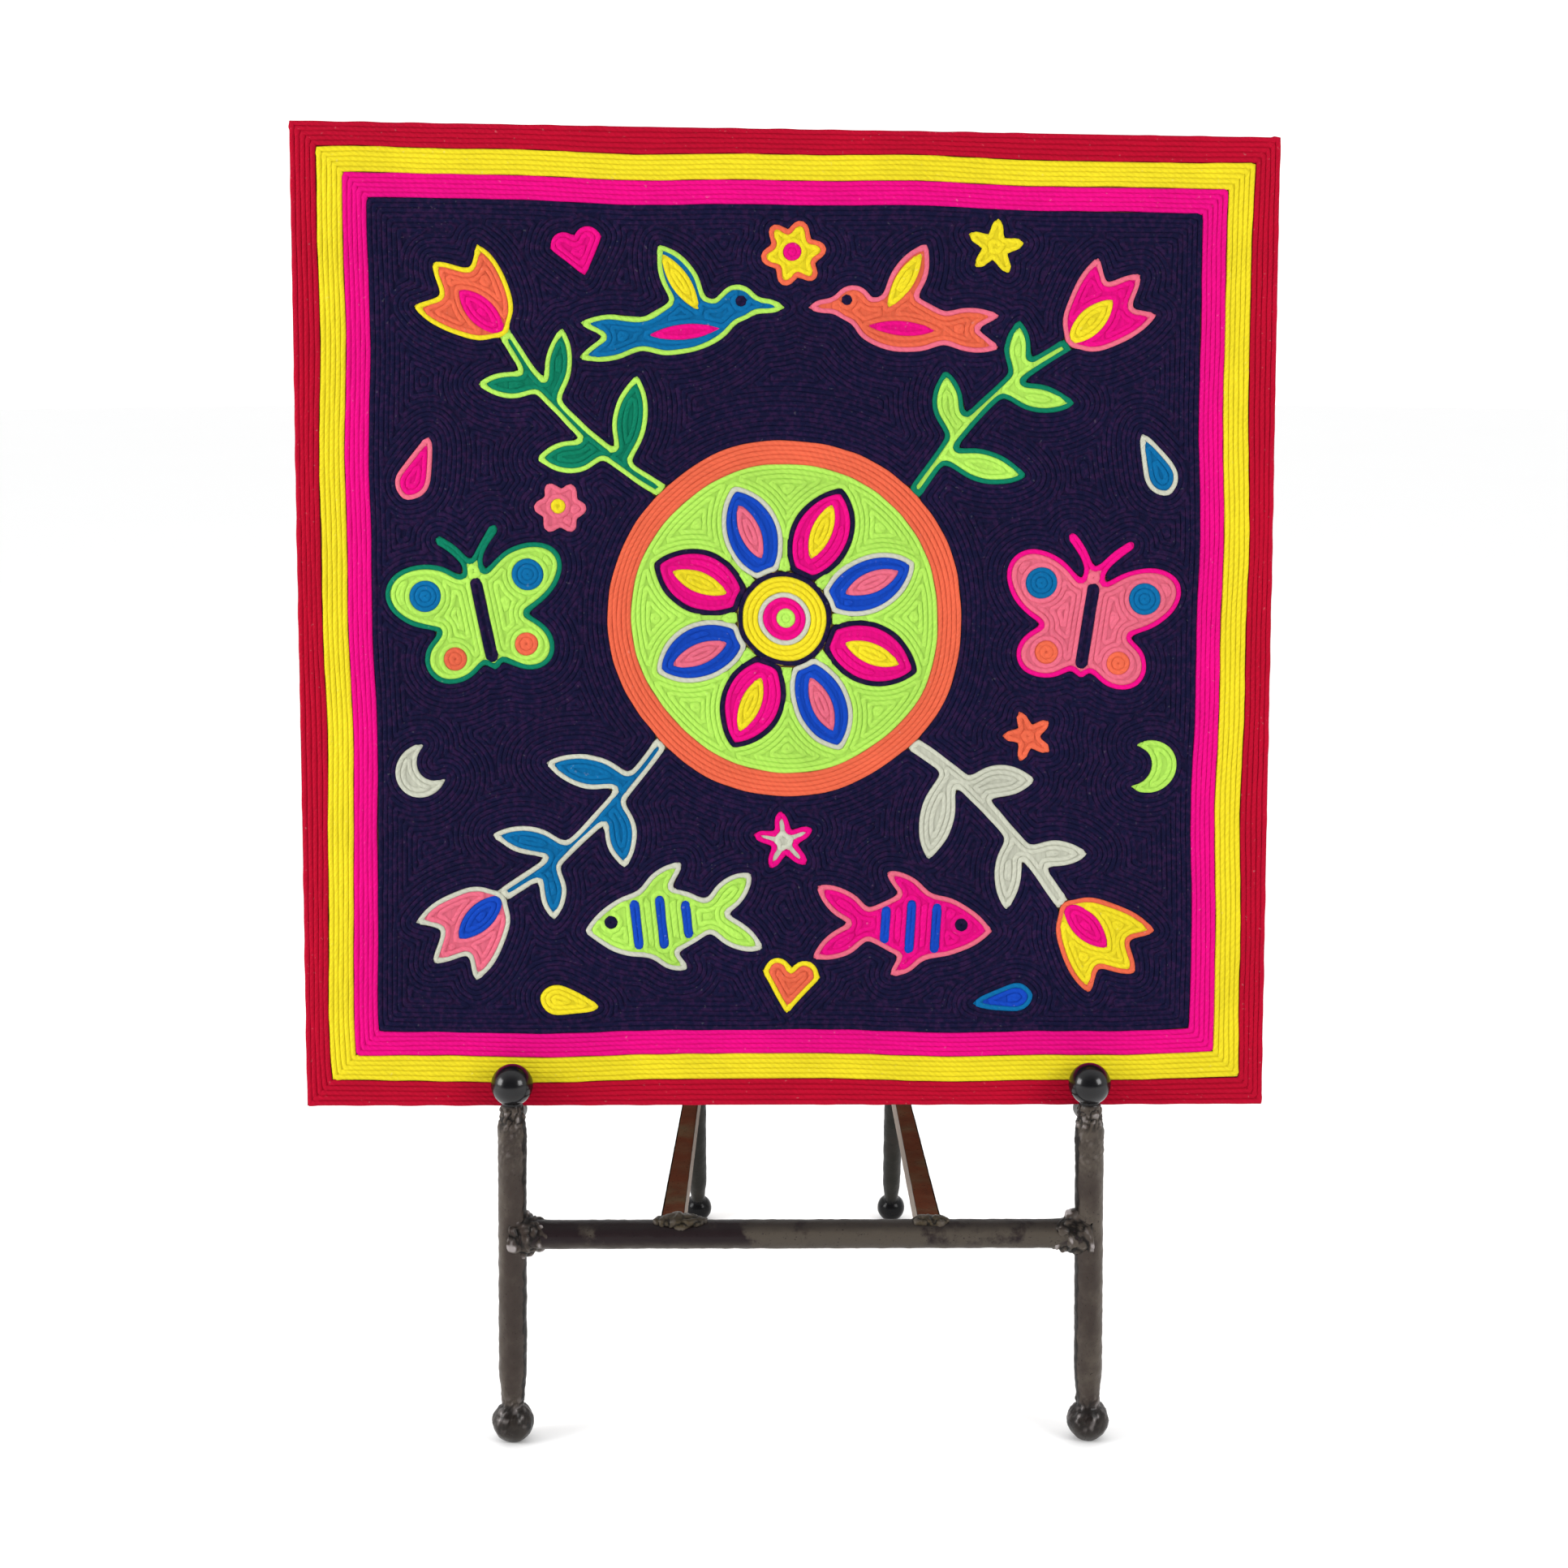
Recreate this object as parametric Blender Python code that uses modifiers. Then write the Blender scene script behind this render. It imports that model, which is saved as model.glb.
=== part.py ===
"""A yarn painting on its iron display easel.

A thin square board is faced all over with coloured yarn pressed into wax: three bands round the rim,
motifs inside them, and a dark ground laid round the motifs. It leans back on a welded four-legged easel.
Metres, +Z up, the front towards -Y, the origin on the floor under the middle. Sizes below are in
millimetres, and MM turns them into metres.
"""

import math
from collections import namedtuple

import bpy
import numpy as np
from mathutils import Matrix, Vector

MM = 0.001
GAP = 0.3  # between pieces that touch

# The painting, a hand-cut square that is a little wider at its top
TOP_WIDTH = 303.0
BOTTOM_LEFT = -148.7
BOTTOM_RIGHT = 147.8
HALF_HEIGHT = 150.0  # from the middle down to the bottom edge
TOP_LEFT_RISE = 152.7  # from the middle up to each top corner
TOP_RIGHT_RISE = 147.7
BOARD_THICK = 5.0
YARN_THICK = 1.6
LEAN = math.radians(8.8)
BOTTOM_EDGE_Z = 108.6  # the front of the bottom edge above the floor

# The bands, from the rim inwards, and how unevenly they are laid
RED_BAND = 7.7
YELLOW_BAND = 7.9
MAGENTA_BAND = 7.5
BAND_WAVE = 0.45
BAND_WAVE_RUNS = (23.0, 9.5)  # a long wave, and a shorter one on it
BAND_CORNER = 0.8
MOTIF_DRIFT = 0.5
MOTIF_FINE_DRIFT = 0.35

# The front posts, with a ball at each end
EASEL_X = 4.5  # the easel stands a little right of the painting's middle
POST_RADIUS = 4.4
BALL_RADIUS = 6.5
NECK_RADIUS = 3.6
NECK_LENGTH = 11.0  # from a ball to the full radius
NECK_SLIM = NECK_LENGTH / 3  # the part of it that is at its slimmest
POST_TOP_X = 88.9  # half the distance between the top balls
POST_FOOT_X = 91.0
TOP_BALL_Z = 117.1
FOOT_FLAT = 2.5  # radius of the flat that a ball foot stands on

# The crossbar, the rails and the rear legs
CROSSBAR_RADIUS = 4.5
CROSSBAR_Z = 68.4
WELD_RADIUS = 6.9
WELD_START = 2.5  # from the post's axis
WELD_LENGTH = 10.5  # from there to where the weld has run out
WELD_WAIST = 5.2  # its radius where it falls off fastest
RAIL_X = 40.3
RAIL_FRONT_WIDTH = 7.4
RAIL_REAR_WIDTH = 5.0
RAIL_HEIGHT = 8.8
RAIL_TOP_Z = 72.7
RAIL_BEVEL = 0.7
LEG_RADIUS = 3.4
LEG_NECK = 2.8
LEG_BALL = 5.25
LEG_FLAT = 2.2
LEG_FOOT_X = 37.6
LEG_TOP_X = 34.0
LEG_FOOT_BACK = 191.8  # behind the posts
LEG_PAST_BAR = 8.0
BACK_BAR_Z = 285.0
BACK_BAR_RADIUS = 3.4
BACK_BAR_LENGTH = 84.0
LEDGE_RADIUS = 3.0
LEDGE_PAST_BOARD = 9.0

ROUND_STEPS = 16
BALL_STEPS = 6
ROUND_END_STEPS = 4
FLOOR_CUTTER = (400.0, 400.0, 20.0)
POST_Y = (BALL_RADIUS - LEG_FOOT_BACK - LEG_BALL) / 2  # centres the whole on the origin
FACE = BOARD_THICK + GAP + YARN_THICK  # the yarn's front, from the board's back

# The grid that the painting's outlines are worked out on
GRID_HALF = 156.0
GRID_STEP = 0.75
OUTLINE_ERROR = 0.26  # how far a straight stretch may cut a curve

Colour = namedtuple("Colour", "rgb roughness metallic")
COLOURS = {
    "yarn_red": Colour((0.56, 0.005, 0.035), 0.9, 0.0),
    "yarn_yellow": Colour((0.93, 0.76, 0.02), 0.9, 0.0),
    "yarn_magenta": Colour((0.84, 0.002, 0.25), 0.9, 0.0),
    "yarn_navy": Colour((0.012, 0.012, 0.045), 0.9, 0.0),
    "yarn_orange": Colour((0.9, 0.14, 0.055), 0.9, 0.0),
    "yarn_pink": Colour((0.9, 0.16, 0.25), 0.9, 0.0),
    "yarn_lime": Colour((0.55, 0.85, 0.04), 0.9, 0.0),
    "yarn_green": Colour((0.005, 0.26, 0.12), 0.9, 0.0),
    "yarn_cerulean": Colour((0.008, 0.22, 0.5), 0.9, 0.0),
    "yarn_blue": Colour((0.01, 0.06, 0.55), 0.9, 0.0),
    "yarn_white": Colour((0.62, 0.6, 0.5), 0.9, 0.0),
    "board_wood": Colour((0.42, 0.26, 0.13), 0.8, 0.0),
    "iron": Colour((0.05, 0.042, 0.038), 0.35, 0.8),
}


# The scene, collections and materials


def clear_scene():
    for obj in list(bpy.data.objects):
        bpy.data.objects.remove(obj, do_unlink=True)


def collection(name):
    made = bpy.data.collections.new(name)
    bpy.context.scene.collection.children.link(made)
    return made


def material(name):
    found = bpy.data.materials.get(name)
    if found:
        return found
    colour = COLOURS[name]
    made = bpy.data.materials.new(name)
    made.use_nodes = True
    shader = made.node_tree.nodes["Principled BSDF"]
    shader.inputs["Base Color"].default_value = (*colour.rgb, 1.0)
    shader.inputs["Roughness"].default_value = colour.roughness
    shader.inputs["Metallic"].default_value = colour.metallic
    made.diffuse_color = (*colour.rgb, 1.0)
    return made


def place(obj, group, finish=None):
    group.objects.link(obj)
    if finish:
        obj.data.materials.append(material(finish))
    return obj


def unit_cube(name, group, finish=None):
    bpy.ops.mesh.primitive_cube_add(size=1)
    obj = bpy.context.object
    obj.name = name
    for user in list(obj.users_collection):
        user.objects.unlink(obj)
    return place(obj, group, finish)


# Distances in the painting's plane: less than zero inside a shape, in millimetres, for whole grids


def disc(u, w, centre, radius):
    return np.hypot(u - centre[0], w - centre[1]) - radius


def oval(u, w, centre, radii, turn=0.0):
    p, q = turned_grid(u - centre[0], w - centre[1], turn)
    size = np.hypot(p / radii[0], q / radii[1])
    slope = np.hypot(p / radii[0] ** 2, q / radii[1] ** 2)
    return size * (size - 1) / np.maximum(slope, 1e-6)


def leaf(u, w, start, end, width):
    """A pointed oval from start to end, where two discs of one radius overlap."""
    half = math.dist(start, end) / 2
    radius = (half**2 + (width / 2) ** 2) / width
    offset = radius - width / 2
    turn = math.atan2(end[1] - start[1], end[0] - start[0])
    p, q = turned_grid(u - (start[0] + end[0]) / 2, w - (start[1] + end[1]) / 2, turn)
    return np.hypot(p, np.abs(q) + offset) - radius


def stem(u, w, points, width):
    """A strip of one width along straight runs between points."""
    near = np.full_like(u, np.inf)
    for (au, aw), (bu, bw) in zip(points, points[1:]):
        du, dw = bu - au, bw - aw
        share = np.clip(((u - au) * du + (w - aw) * dw) / (du**2 + dw**2), 0, 1)
        near = np.minimum(near, np.hypot(u - au - share * du, w - aw - share * dw))
    return near - width / 2


def turned_grid(u, w, turn):
    c, s = math.cos(turn), math.sin(turn)
    return u * c + w * s, w * c - u * s


def melt(soft, *shapes):
    """The shapes run together, with soft inner corners."""
    joined = shapes[0]
    for shape in shapes[1:]:
        near = np.maximum(soft - np.abs(joined - shape), 0) / soft
        joined = np.minimum(joined, shape) - near**2 * soft / 4
    return joined


def bent(start, end, bow, steps=8):
    """Points from start to end along a curve that bows sideways."""
    (au, aw), (bu, bw) = start, end
    length = math.dist(start, end)
    points = []
    for i in range(steps + 1):
        t = i / steps
        side = bow * math.sin(math.pi * t)
        points.append((
            au + (bu - au) * t - (bw - aw) / length * side,
            aw + (bw - aw) * t + (bu - au) / length * side,
        ))
    return points


# The motifs, each in its own upright frame, in millimetres


def sprig(u, w):
    """A bowed stem with two pairs of leaves."""
    root, tip = (0, 0), (0, 62)
    return melt(
        2.0,
        stem(u, w, bent(root, tip, 3.5), 4.0),
        leaf(u, w, (-2, 12), (19, 27), 9.5),
        leaf(u, w, (-3, 18), (-19, 31), 9.0),
        leaf(u, w, (-3, 38), (14, 52), 8.0),
        leaf(u, w, (-2, 44), (-15, 57), 7.5),
    )


def tulip(u, w):
    """Three upright petals on a round base, at the end of a sprig."""
    return melt(
        3.0,
        oval(u, w, (0, 71), (8.5, 8.0)),
        leaf(u, w, (0, 64), (0, 91), 11.0),
        leaf(u, w, (0, 63), (-12.5, 86), 9.5),
        leaf(u, w, (0, 63), (12.5, 86), 9.5),
    )


def butterfly(u, w):
    wings = []
    for side in (-1, 1):
        wings += [
            oval(u, w, (side * 13.5, 9.5), (13.5, 9.5), side * 0.5),
            oval(u, w, (side * 10.5, -9.0), (9.5, 7.8), -side * 0.5),
            stem(u, w, bent((0, 12), (side * 8.5, 25.5), side * 1.5), 2.6),
        ]
    return melt(3.0, oval(u, w, (0, 0), (4.2, 15.5)), *wings)


def bird(u, w):
    return melt(
        2.5,
        oval(u, w, (0, 0), (17.5, 9.5), 0.25),
        disc(u, w, (17, 9), 6.6),
        leaf(u, w, (18, 9), (33.5, 9), 5.5),
        leaf(u, w, (-8, -2), (-35, -12), 9.0),
        leaf(u, w, (-8, -1), (-36, 0), 8.0),
        leaf(u, w, (6, 3), (-11, 27), 12.5),
    )


def fish(u, w):
    return melt(
        2.0,
        leaf(u, w, (-20, 0), (25, 0), 21.0),
        leaf(u, w, (-13, 0), (-31, 12), 9.0),
        leaf(u, w, (-13, 0), (-31, -12), 9.0),
        leaf(u, w, (6, 7), (-9, 17.5), 7.0),
        leaf(u, w, (5, -7), (-7, -16), 6.0),
    )


def rosette(u, w):
    """Six round petals about a middle."""
    petals = [
        oval(u, w, (6.6 * math.cos(a), 6.6 * math.sin(a)), (5.8, 4.0), a)
        for a in (math.tau * i / 6 for i in range(6))
    ]
    return melt(1.2, disc(u, w, (0, 0), 4.5), *petals)


def star(u, w):
    """Five pointed arms."""
    arms = [
        leaf(u, w, (0, 0), (12.5 * math.sin(a), 12.5 * math.cos(a)), 5.6)
        for a in (math.tau * i / 5 for i in range(5))
    ]
    return melt(1.5, disc(u, w, (0, 0), 4.0), *arms)


def drop(u, w):
    return melt(5.0, disc(u, w, (0, -3.5), 4.6), leaf(u, w, (0, -6), (0, 11), 6.0))


def heart(u, w):
    """Two round lobes over a wedge whose sides touch them."""
    lobe_u, lobe_w, radius, tip = 4.7, 3.4, 4.9, -11.0
    lobes = [disc(u, w, (side * lobe_u, lobe_w), radius) for side in (-1, 1)]
    high = lobe_w - tip
    lean = math.atan2(lobe_u, high) + math.asin(radius / math.hypot(lobe_u, high))
    wedge = np.maximum(np.abs(u) * math.cos(lean) - (w - tip) * math.sin(lean), w - lobe_w)
    return melt(0.6, *lobes, wedge)


def crescent(u, w):
    return np.maximum(disc(u, w, (0, 0), 8.5), -disc(u, w, (5.2, 1.2), 6.2))


# The medallion in the middle
MEDALLION = (0.0, 1.0)
RIM_RADIUS = 55.0
RIM_WIDTH = 7.6
PETALS = 8
PETAL_START = 12.0
PETAL_END = 43.5
PETAL_WIDTH = 18.5
HUB_RADIUS = 15.0
HEART_RADIUS = 8.4

Motif = namedtuple("Motif", "node shape colour u w turn size")
MOTIFS = (
    Motif("tulip_upper_left", tulip, "yarn_orange", -39.0, 40.5, 45, 1.08),
    Motif("tulip_upper_right", tulip, "yarn_magenta", 39.5, 39.5, -46, 1.06),
    Motif("tulip_lower_left", tulip, "yarn_pink", -39.5, -38.0, 134, 1.08),
    Motif("tulip_lower_right", tulip, "yarn_yellow", 39.0, -38.5, -136, 1.09),
    Motif("sprig_upper_left", sprig, "yarn_green", -39.0, 40.5, 45, 1.08),
    Motif("sprig_upper_right", sprig, "yarn_lime", 39.5, 39.5, -46, 1.06),
    Motif("sprig_lower_left", sprig, "yarn_cerulean", -39.5, -38.0, 134, 1.08),
    Motif("sprig_lower_right", sprig, "yarn_white", 39.0, -38.5, -136, 1.09),
    Motif("butterfly_left", butterfly, "yarn_lime", -93.0, 0.5, 12, 1.04),
    Motif("butterfly_right", butterfly, "yarn_pink", 93.0, -1.5, -9, 1.04),
    Motif("bird_left", bird, "yarn_cerulean", -31.0, 90.0, -4, 0.9),
    Motif("bird_right", bird, "yarn_orange", 35.5, 91.0, 185, 0.86),
    Motif("fish_left", fish, "yarn_lime", -39.0, -93.0, 186, 0.98),
    Motif("fish_right", fish, "yarn_magenta", 39.0, -94.5, -4, 0.98),
    Motif("rosette_top", rosette, "yarn_yellow", 2.0, 113.0, 10, 0.85),
    Motif("star_bottom", star, "yarn_white", 0.0, -68.0, 8, 0.78),
    Motif("heart_bottom", heart, "yarn_orange", 1.0, -112.0, -6, 0.9),
    Motif("drop_left_upper", drop, "yarn_magenta", -114.0, 46.0, -24, 1.1),
    Motif("drop_right_upper", drop, "yarn_cerulean", 114.0, 47.0, 22, 1.1),
    Motif("crescent_left", crescent, "yarn_white", -112.5, -46.0, 20, 1.0),
    Motif("crescent_right", crescent, "yarn_lime", 112.5, -45.0, 160, 1.0),
    Motif("rosette_upper_left", rosette, "yarn_pink", -70.0, 35.5, 0, 0.66),
    Motif("star_lower_right", star, "yarn_orange", 74.5, -35.5, 20, 0.66),
    Motif("heart_top_left", heart, "yarn_magenta", -64.0, 114.0, 14, 0.78),
    Motif("star_top_right", star, "yarn_yellow", 64.0, 114.0, -8, 0.72),
    Motif("drop_bottom_left", drop, "yarn_yellow", -68.0, -117.0, -100, 0.95),
    Motif("drop_bottom_right", drop, "yarn_blue", 68.0, -117.0, 100, 0.95),
)


def own_grid(u, w, motif):
    """The grid as the motif's own frame sees it. A bird or fish that is turned past upright is mirrored."""
    turn = math.radians(motif.turn)
    p, q = turned_grid(u - motif.u, w - motif.w, turn)
    if motif.shape in (bird, fish) and math.cos(turn) < 0:
        q = -q
    return p / motif.size, q / motif.size


def medallion_pieces(u, w):
    """(node, colour, distances) from the middle outwards. Each is laid round the ones before it."""
    yield "medallion_heart", "yarn_magenta", disc(u, w, MEDALLION, HEART_RADIUS)
    yield "medallion_hub", "yarn_yellow", disc(u, w, MEDALLION, HUB_RADIUS)
    for i in range(PETALS):
        angle = math.tau * (i + 0.5) / PETALS
        reach = Vector((math.cos(angle), math.sin(angle)))
        start = Vector(MEDALLION) + reach * PETAL_START
        end = Vector(MEDALLION) + reach * PETAL_END
        colour = "yarn_magenta" if i % 2 else "yarn_blue"
        yield f"petal_{i + 1}", colour, leaf(u, w, start, end, PETAL_WIDTH)
    yield "medallion_field", "yarn_lime", disc(u, w, MEDALLION, RIM_RADIUS - RIM_WIDTH)
    yield "medallion_rim", "yarn_orange", disc(u, w, MEDALLION, RIM_RADIUS)


def hand_laid(u, w):
    """The grid with the small drift of work laid by hand."""
    return (
        u + MOTIF_DRIFT * np.sin(w / 11.0 + 1.3) + MOTIF_FINE_DRIFT * np.sin(u / 7.0 + w / 19.0),
        w + MOTIF_DRIFT * np.sin(u / 12.0 + 0.4) + MOTIF_FINE_DRIFT * np.sin(w / 8.0 - u / 17.0),
    )


def corners():
    return (
        Vector((-TOP_WIDTH / 2, TOP_LEFT_RISE)),
        Vector((TOP_WIDTH / 2, TOP_RIGHT_RISE)),
        Vector((BOTTOM_RIGHT, -HALF_HEIGHT)),
        Vector((BOTTOM_LEFT, -HALF_HEIGHT)),
    )


def depth_in(u, w):
    """How far in from the nearest edge of the board, with waves and round corners as the bands have."""
    outline = corners()
    long_run, short_run = BAND_WAVE_RUNS
    depth = None
    for i, corner in enumerate(outline):
        along = (outline[(i + 1) % 4] - corner).normalized()
        inwards = (u - corner.x) * along.y - (w - corner.y) * along.x
        run = (u - corner.x) * along.x + (w - corner.y) * along.y
        wave = np.sin(run / long_run + 2.1 * i) + 0.6 * np.sin(run / short_run + 1.7 * i)
        inwards = inwards + BAND_WAVE * wave
        depth = inwards if depth is None else melt(BAND_CORNER, depth, inwards)
    return depth


# Outlines read from a grid of distances


def outlines(field, at):
    """The closed outlines where the field crosses zero, as arrays of points in millimetres."""
    inside = field < 0
    count = inside[:-1, :-1].astype(int) + inside[1:, :-1] + inside[1:, 1:] + inside[:-1, 1:]
    following, place_of = {}, {}
    for i, j in zip(*np.nonzero((count > 0) & (count < 4))):
        cell = ((i, j), (i + 1, j), (i + 1, j + 1), (i, j + 1))
        leaving, entering = [], []
        for a, b in zip(cell, cell[1:] + cell[:1]):
            if inside[a] == inside[b]:
                continue
            edge = (min(a, b), max(a, b))
            share = field[a] / (field[a] - field[b])
            place_of[edge] = (
                at[a[0]] + share * (at[b[0]] - at[a[0]]),
                at[a[1]] + share * (at[b[1]] - at[a[1]]),
            )
            (leaving if inside[a] else entering).append((len(leaving) + len(entering), edge))
        for order, edge in leaving:
            after = [e for n, e in entering if n == (order + 1) % (2 * len(leaving))]
            following[edge] = after[0]
    loops = []
    while following:
        edge, after = following.popitem()
        loop = [place_of[edge]]
        while after in following:
            loop.append(place_of[after])
            after = following.pop(after)
        loops.append(np.array(loop))
    return loops


def fewer_points(loop):
    """The loop with only the points that it needs to stay within OUTLINE_ERROR."""
    far = int(np.argmax(np.hypot(*(loop - loop[0]).T)))
    closed = np.vstack([loop, loop[:1]])
    keep = {0, far, len(loop)}
    spans = [(0, far), (far, len(loop))]
    while spans:
        first, last = spans.pop()
        if last - first < 2:
            continue
        run = closed[last] - closed[first]
        run = run / max(np.hypot(*run), 1e-9)
        away = closed[first + 1:last] - closed[first]
        off = np.abs(away[:, 0] * run[1] - away[:, 1] * run[0])
        worst = int(np.argmax(off))
        if off[worst] > OUTLINE_ERROR:
            middle = first + 1 + worst
            keep.add(middle)
            spans += [(first, middle), (middle, last)]
    return closed[sorted(keep)[:-1]]


# The painting


def painting_frame():
    """Where the painting's plane stands: its middle on the board's back, x across, y up, z to the front."""
    up = Vector((0, math.sin(LEAN), math.cos(LEAN)))
    front = Vector((0, -math.cos(LEAN), math.sin(LEAN)))
    to_face = BALL_RADIUS + GAP - (TOP_BALL_Z - BOTTOM_EDGE_Z) * math.sin(LEAN)
    bottom = Vector((0, POST_Y + to_face / math.cos(LEAN), BOTTOM_EDGE_Z))
    middle = bottom + up * HALF_HEIGHT - front * FACE
    return middle, up, front


def plate(name, loops, low, thick, colour, group, parent):
    """A flat piece of the painting, cut to closed outlines, of which inner ones are holes."""
    curve = bpy.data.curves.new(name, "CURVE")
    curve.dimensions = "2D"
    curve.fill_mode = "BOTH"
    curve.extrude = thick / 2 * MM
    for loop in loops:
        spline = curve.splines.new("POLY")
        spline.points.add(len(loop) - 1)
        for point, (u, w) in zip(spline.points, loop):
            point.co = (u * MM, w * MM, 0, 1)
        spline.use_cyclic_u = True
    obj = place(bpy.data.objects.new(name, curve), group, colour)
    obj.parent = parent
    obj.location.z = (low + thick / 2) * MM
    return obj


def build_painting(group):
    middle, up, front = painting_frame()
    parent = bpy.data.objects.new("painting", None)
    group.objects.link(parent)
    parent.location = middle * MM
    parent.rotation_euler.x = math.pi / 2 - LEAN
    plate("board", [[tuple(c) for c in corners()]], 0, BOARD_THICK, "board_wood", group, parent)

    at = np.arange(-GRID_HALF, GRID_HALF + GRID_STEP / 2, GRID_STEP)
    plain_u, plain_w = np.meshgrid(at, at, indexing="ij")
    u, w = hand_laid(plain_u, plain_w)
    low = BOARD_THICK + GAP
    taken = np.full_like(u, np.inf)
    laid = list(medallion_pieces(u, w))
    laid += [(m.node, m.colour, m.shape(*own_grid(u, w, m)) * m.size) for m in MOTIFS]
    for node, colour, shape in laid:
        clear = np.maximum(shape, -taken) + GAP / 2
        loops = [fewer_points(loop) for loop in outlines(clear, at)]
        plate(node, loops, low, YARN_THICK, colour, group, parent)
        taken = np.minimum(taken, shape)

    depth = depth_in(plain_u, plain_w)
    rings = (
        ("band_red", "yarn_red", RED_BAND),
        ("band_yellow", "yarn_yellow", YELLOW_BAND),
        ("band_magenta", "yarn_magenta", MAGENTA_BAND),
    )
    edge = 0.0
    for node, colour, width in rings:
        inner = [fewer_points(loop) for loop in outlines(edge + width - GAP / 2 - depth, at)]
        if edge:
            outer = [fewer_points(loop) for loop in outlines(edge + GAP / 2 - depth, at)]
        else:
            outer = [[tuple(c) for c in corners()]]
        plate(node, outer + inner, low, YARN_THICK, colour, group, parent)
        edge += width
    ground = np.maximum(edge - depth, -taken) + GAP / 2
    loops = [fewer_points(loop) for loop in outlines(ground, at)]
    plate("ground", loops, low, YARN_THICK, "yarn_navy", group, parent)


# The easel


def arc(centre, radius, start, end, steps):
    """(height, radius) points of a ball, from one angle to another, measured from straight up."""
    turns = [start + (end - start) * i / steps for i in range(steps + 1)]
    return [(centre + radius * math.cos(t), radius * math.sin(t)) for t in turns]


def rounded_end(length, radius):
    """The round top of a bar, down to its side."""
    return arc(length - radius, radius, 0, math.pi / 2, ROUND_END_STEPS)


def ball_to_neck(radius, neck):
    """The angle at which a ball's surface has come in to its neck's radius."""
    return math.pi - math.asin(neck / radius)


def turned(name, stations, start, end, group, finish="iron", grow=0.0):
    """A round piece from start to end. Its stations are (distance from start, radius), from end to start."""
    start, end = Vector(start), Vector(end)
    mesh = bpy.data.meshes.new(name)
    # The growth swells a cutter on all sides, so its two poles move out too.
    points = [(radius + grow if radius > 1e-6 else 0.0, 0, height) for height, radius in stations]
    points[0] = (points[0][0], 0, points[0][2] + grow)
    points[-1] = (points[-1][0], 0, points[-1][2] - grow)
    mesh.from_pydata([Vector(p) * MM for p in points], [(i, i + 1) for i in range(len(points) - 1)], [])
    obj = place(bpy.data.objects.new(name, mesh), group, finish)
    obj.location = start * MM
    obj.rotation_mode = "QUATERNION"
    obj.rotation_quaternion = (end - start).to_track_quat("Z", "Y")
    screw = obj.modifiers.new("turn", "SCREW")
    screw.steps = ROUND_STEPS
    screw.render_steps = ROUND_STEPS
    screw.use_merge_vertices = True
    screw.merge_threshold = 0.00001
    screw.use_smooth_shade = True
    return obj


def cut(obj, *cutters):
    for cutter in cutters:
        boolean = obj.modifiers.new(f"clear of {cutter.name}", "BOOLEAN")
        boolean.operation = "DIFFERENCE"
        boolean.solver = "EXACT"
        boolean.object = cutter


def as_cutter(obj):
    obj.hide_render = True
    obj.display_type = "WIRE"
    return obj


def floor_cutter(group):
    """Everything under the floor, which leaves a small flat under each ball foot."""
    box = unit_cube("under_floor", group)
    size = Vector(FLOOR_CUTTER) * MM
    box.data.transform(Matrix.Diagonal((*size, 1)))
    box.location.z = -size.z / 2
    return as_cutter(box)


def flat_height(radius, flat):
    """The height of a ball's middle over a flat of this radius."""
    return math.sqrt(radius**2 - flat**2)


def post_line(side):
    foot_z = flat_height(BALL_RADIUS, FOOT_FLAT)
    foot = Vector((EASEL_X + side * POST_FOOT_X, POST_Y, foot_z))
    top = Vector((EASEL_X + side * POST_TOP_X, POST_Y, TOP_BALL_Z))
    return foot, top


def post_stations(length):
    """A ball, a neck, the rod, a neck and a ball. The balls' middles are at 0 and at length."""
    stop = ball_to_neck(BALL_RADIUS, NECK_RADIUS)
    upper = arc(length, BALL_RADIUS, 0, stop, BALL_STEPS)
    lower = arc(0, BALL_RADIUS, math.pi - stop, math.pi, BALL_STEPS)
    return (
        *upper,
        (length - BALL_RADIUS - NECK_SLIM, NECK_RADIUS),
        (length - BALL_RADIUS - NECK_LENGTH, POST_RADIUS),
        (BALL_RADIUS + NECK_LENGTH, POST_RADIUS),
        (BALL_RADIUS + NECK_SLIM, NECK_RADIUS),
        *lower,
    )


def back_bar_middle():
    """The back bar lies along the board's back, at a height of BACK_BAR_Z on it."""
    middle, up, front = painting_frame()
    on_back = middle + up * ((BACK_BAR_Z - middle.z) / up.z)
    bar = on_back - front * (BACK_BAR_RADIUS + GAP)
    bar.x = EASEL_X
    return bar


def leg_line(side):
    """From the rear foot's ball to the leg's top, leaning forwards to pass close behind the back bar."""
    foot = Vector((EASEL_X + side * LEG_FOOT_X, POST_Y + LEG_FOOT_BACK, flat_height(LEG_BALL, LEG_FLAT)))
    bar = back_bar_middle()
    reach = math.hypot(bar.y - foot.y, bar.z - foot.z)
    swing = math.asin((BACK_BAR_RADIUS + LEG_RADIUS + GAP) / reach)
    rise = math.atan2(bar.z - foot.z, bar.y - foot.y) - swing
    length = reach * math.cos(swing) + LEG_PAST_BAR
    top = Vector((0, foot.y + length * math.cos(rise), foot.z + length * math.sin(rise)))
    top.x = EASEL_X + side * LEG_TOP_X
    return foot, top


def leg_stations(length):
    stop = ball_to_neck(LEG_BALL, LEG_NECK)
    lower = arc(0, LEG_BALL, math.pi - stop, math.pi, BALL_STEPS)
    return (
        *rounded_end(length, LEG_RADIUS),
        (LEG_BALL + NECK_LENGTH, LEG_RADIUS),
        (LEG_BALL + NECK_SLIM, LEG_NECK),
        *lower,
    )


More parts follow.
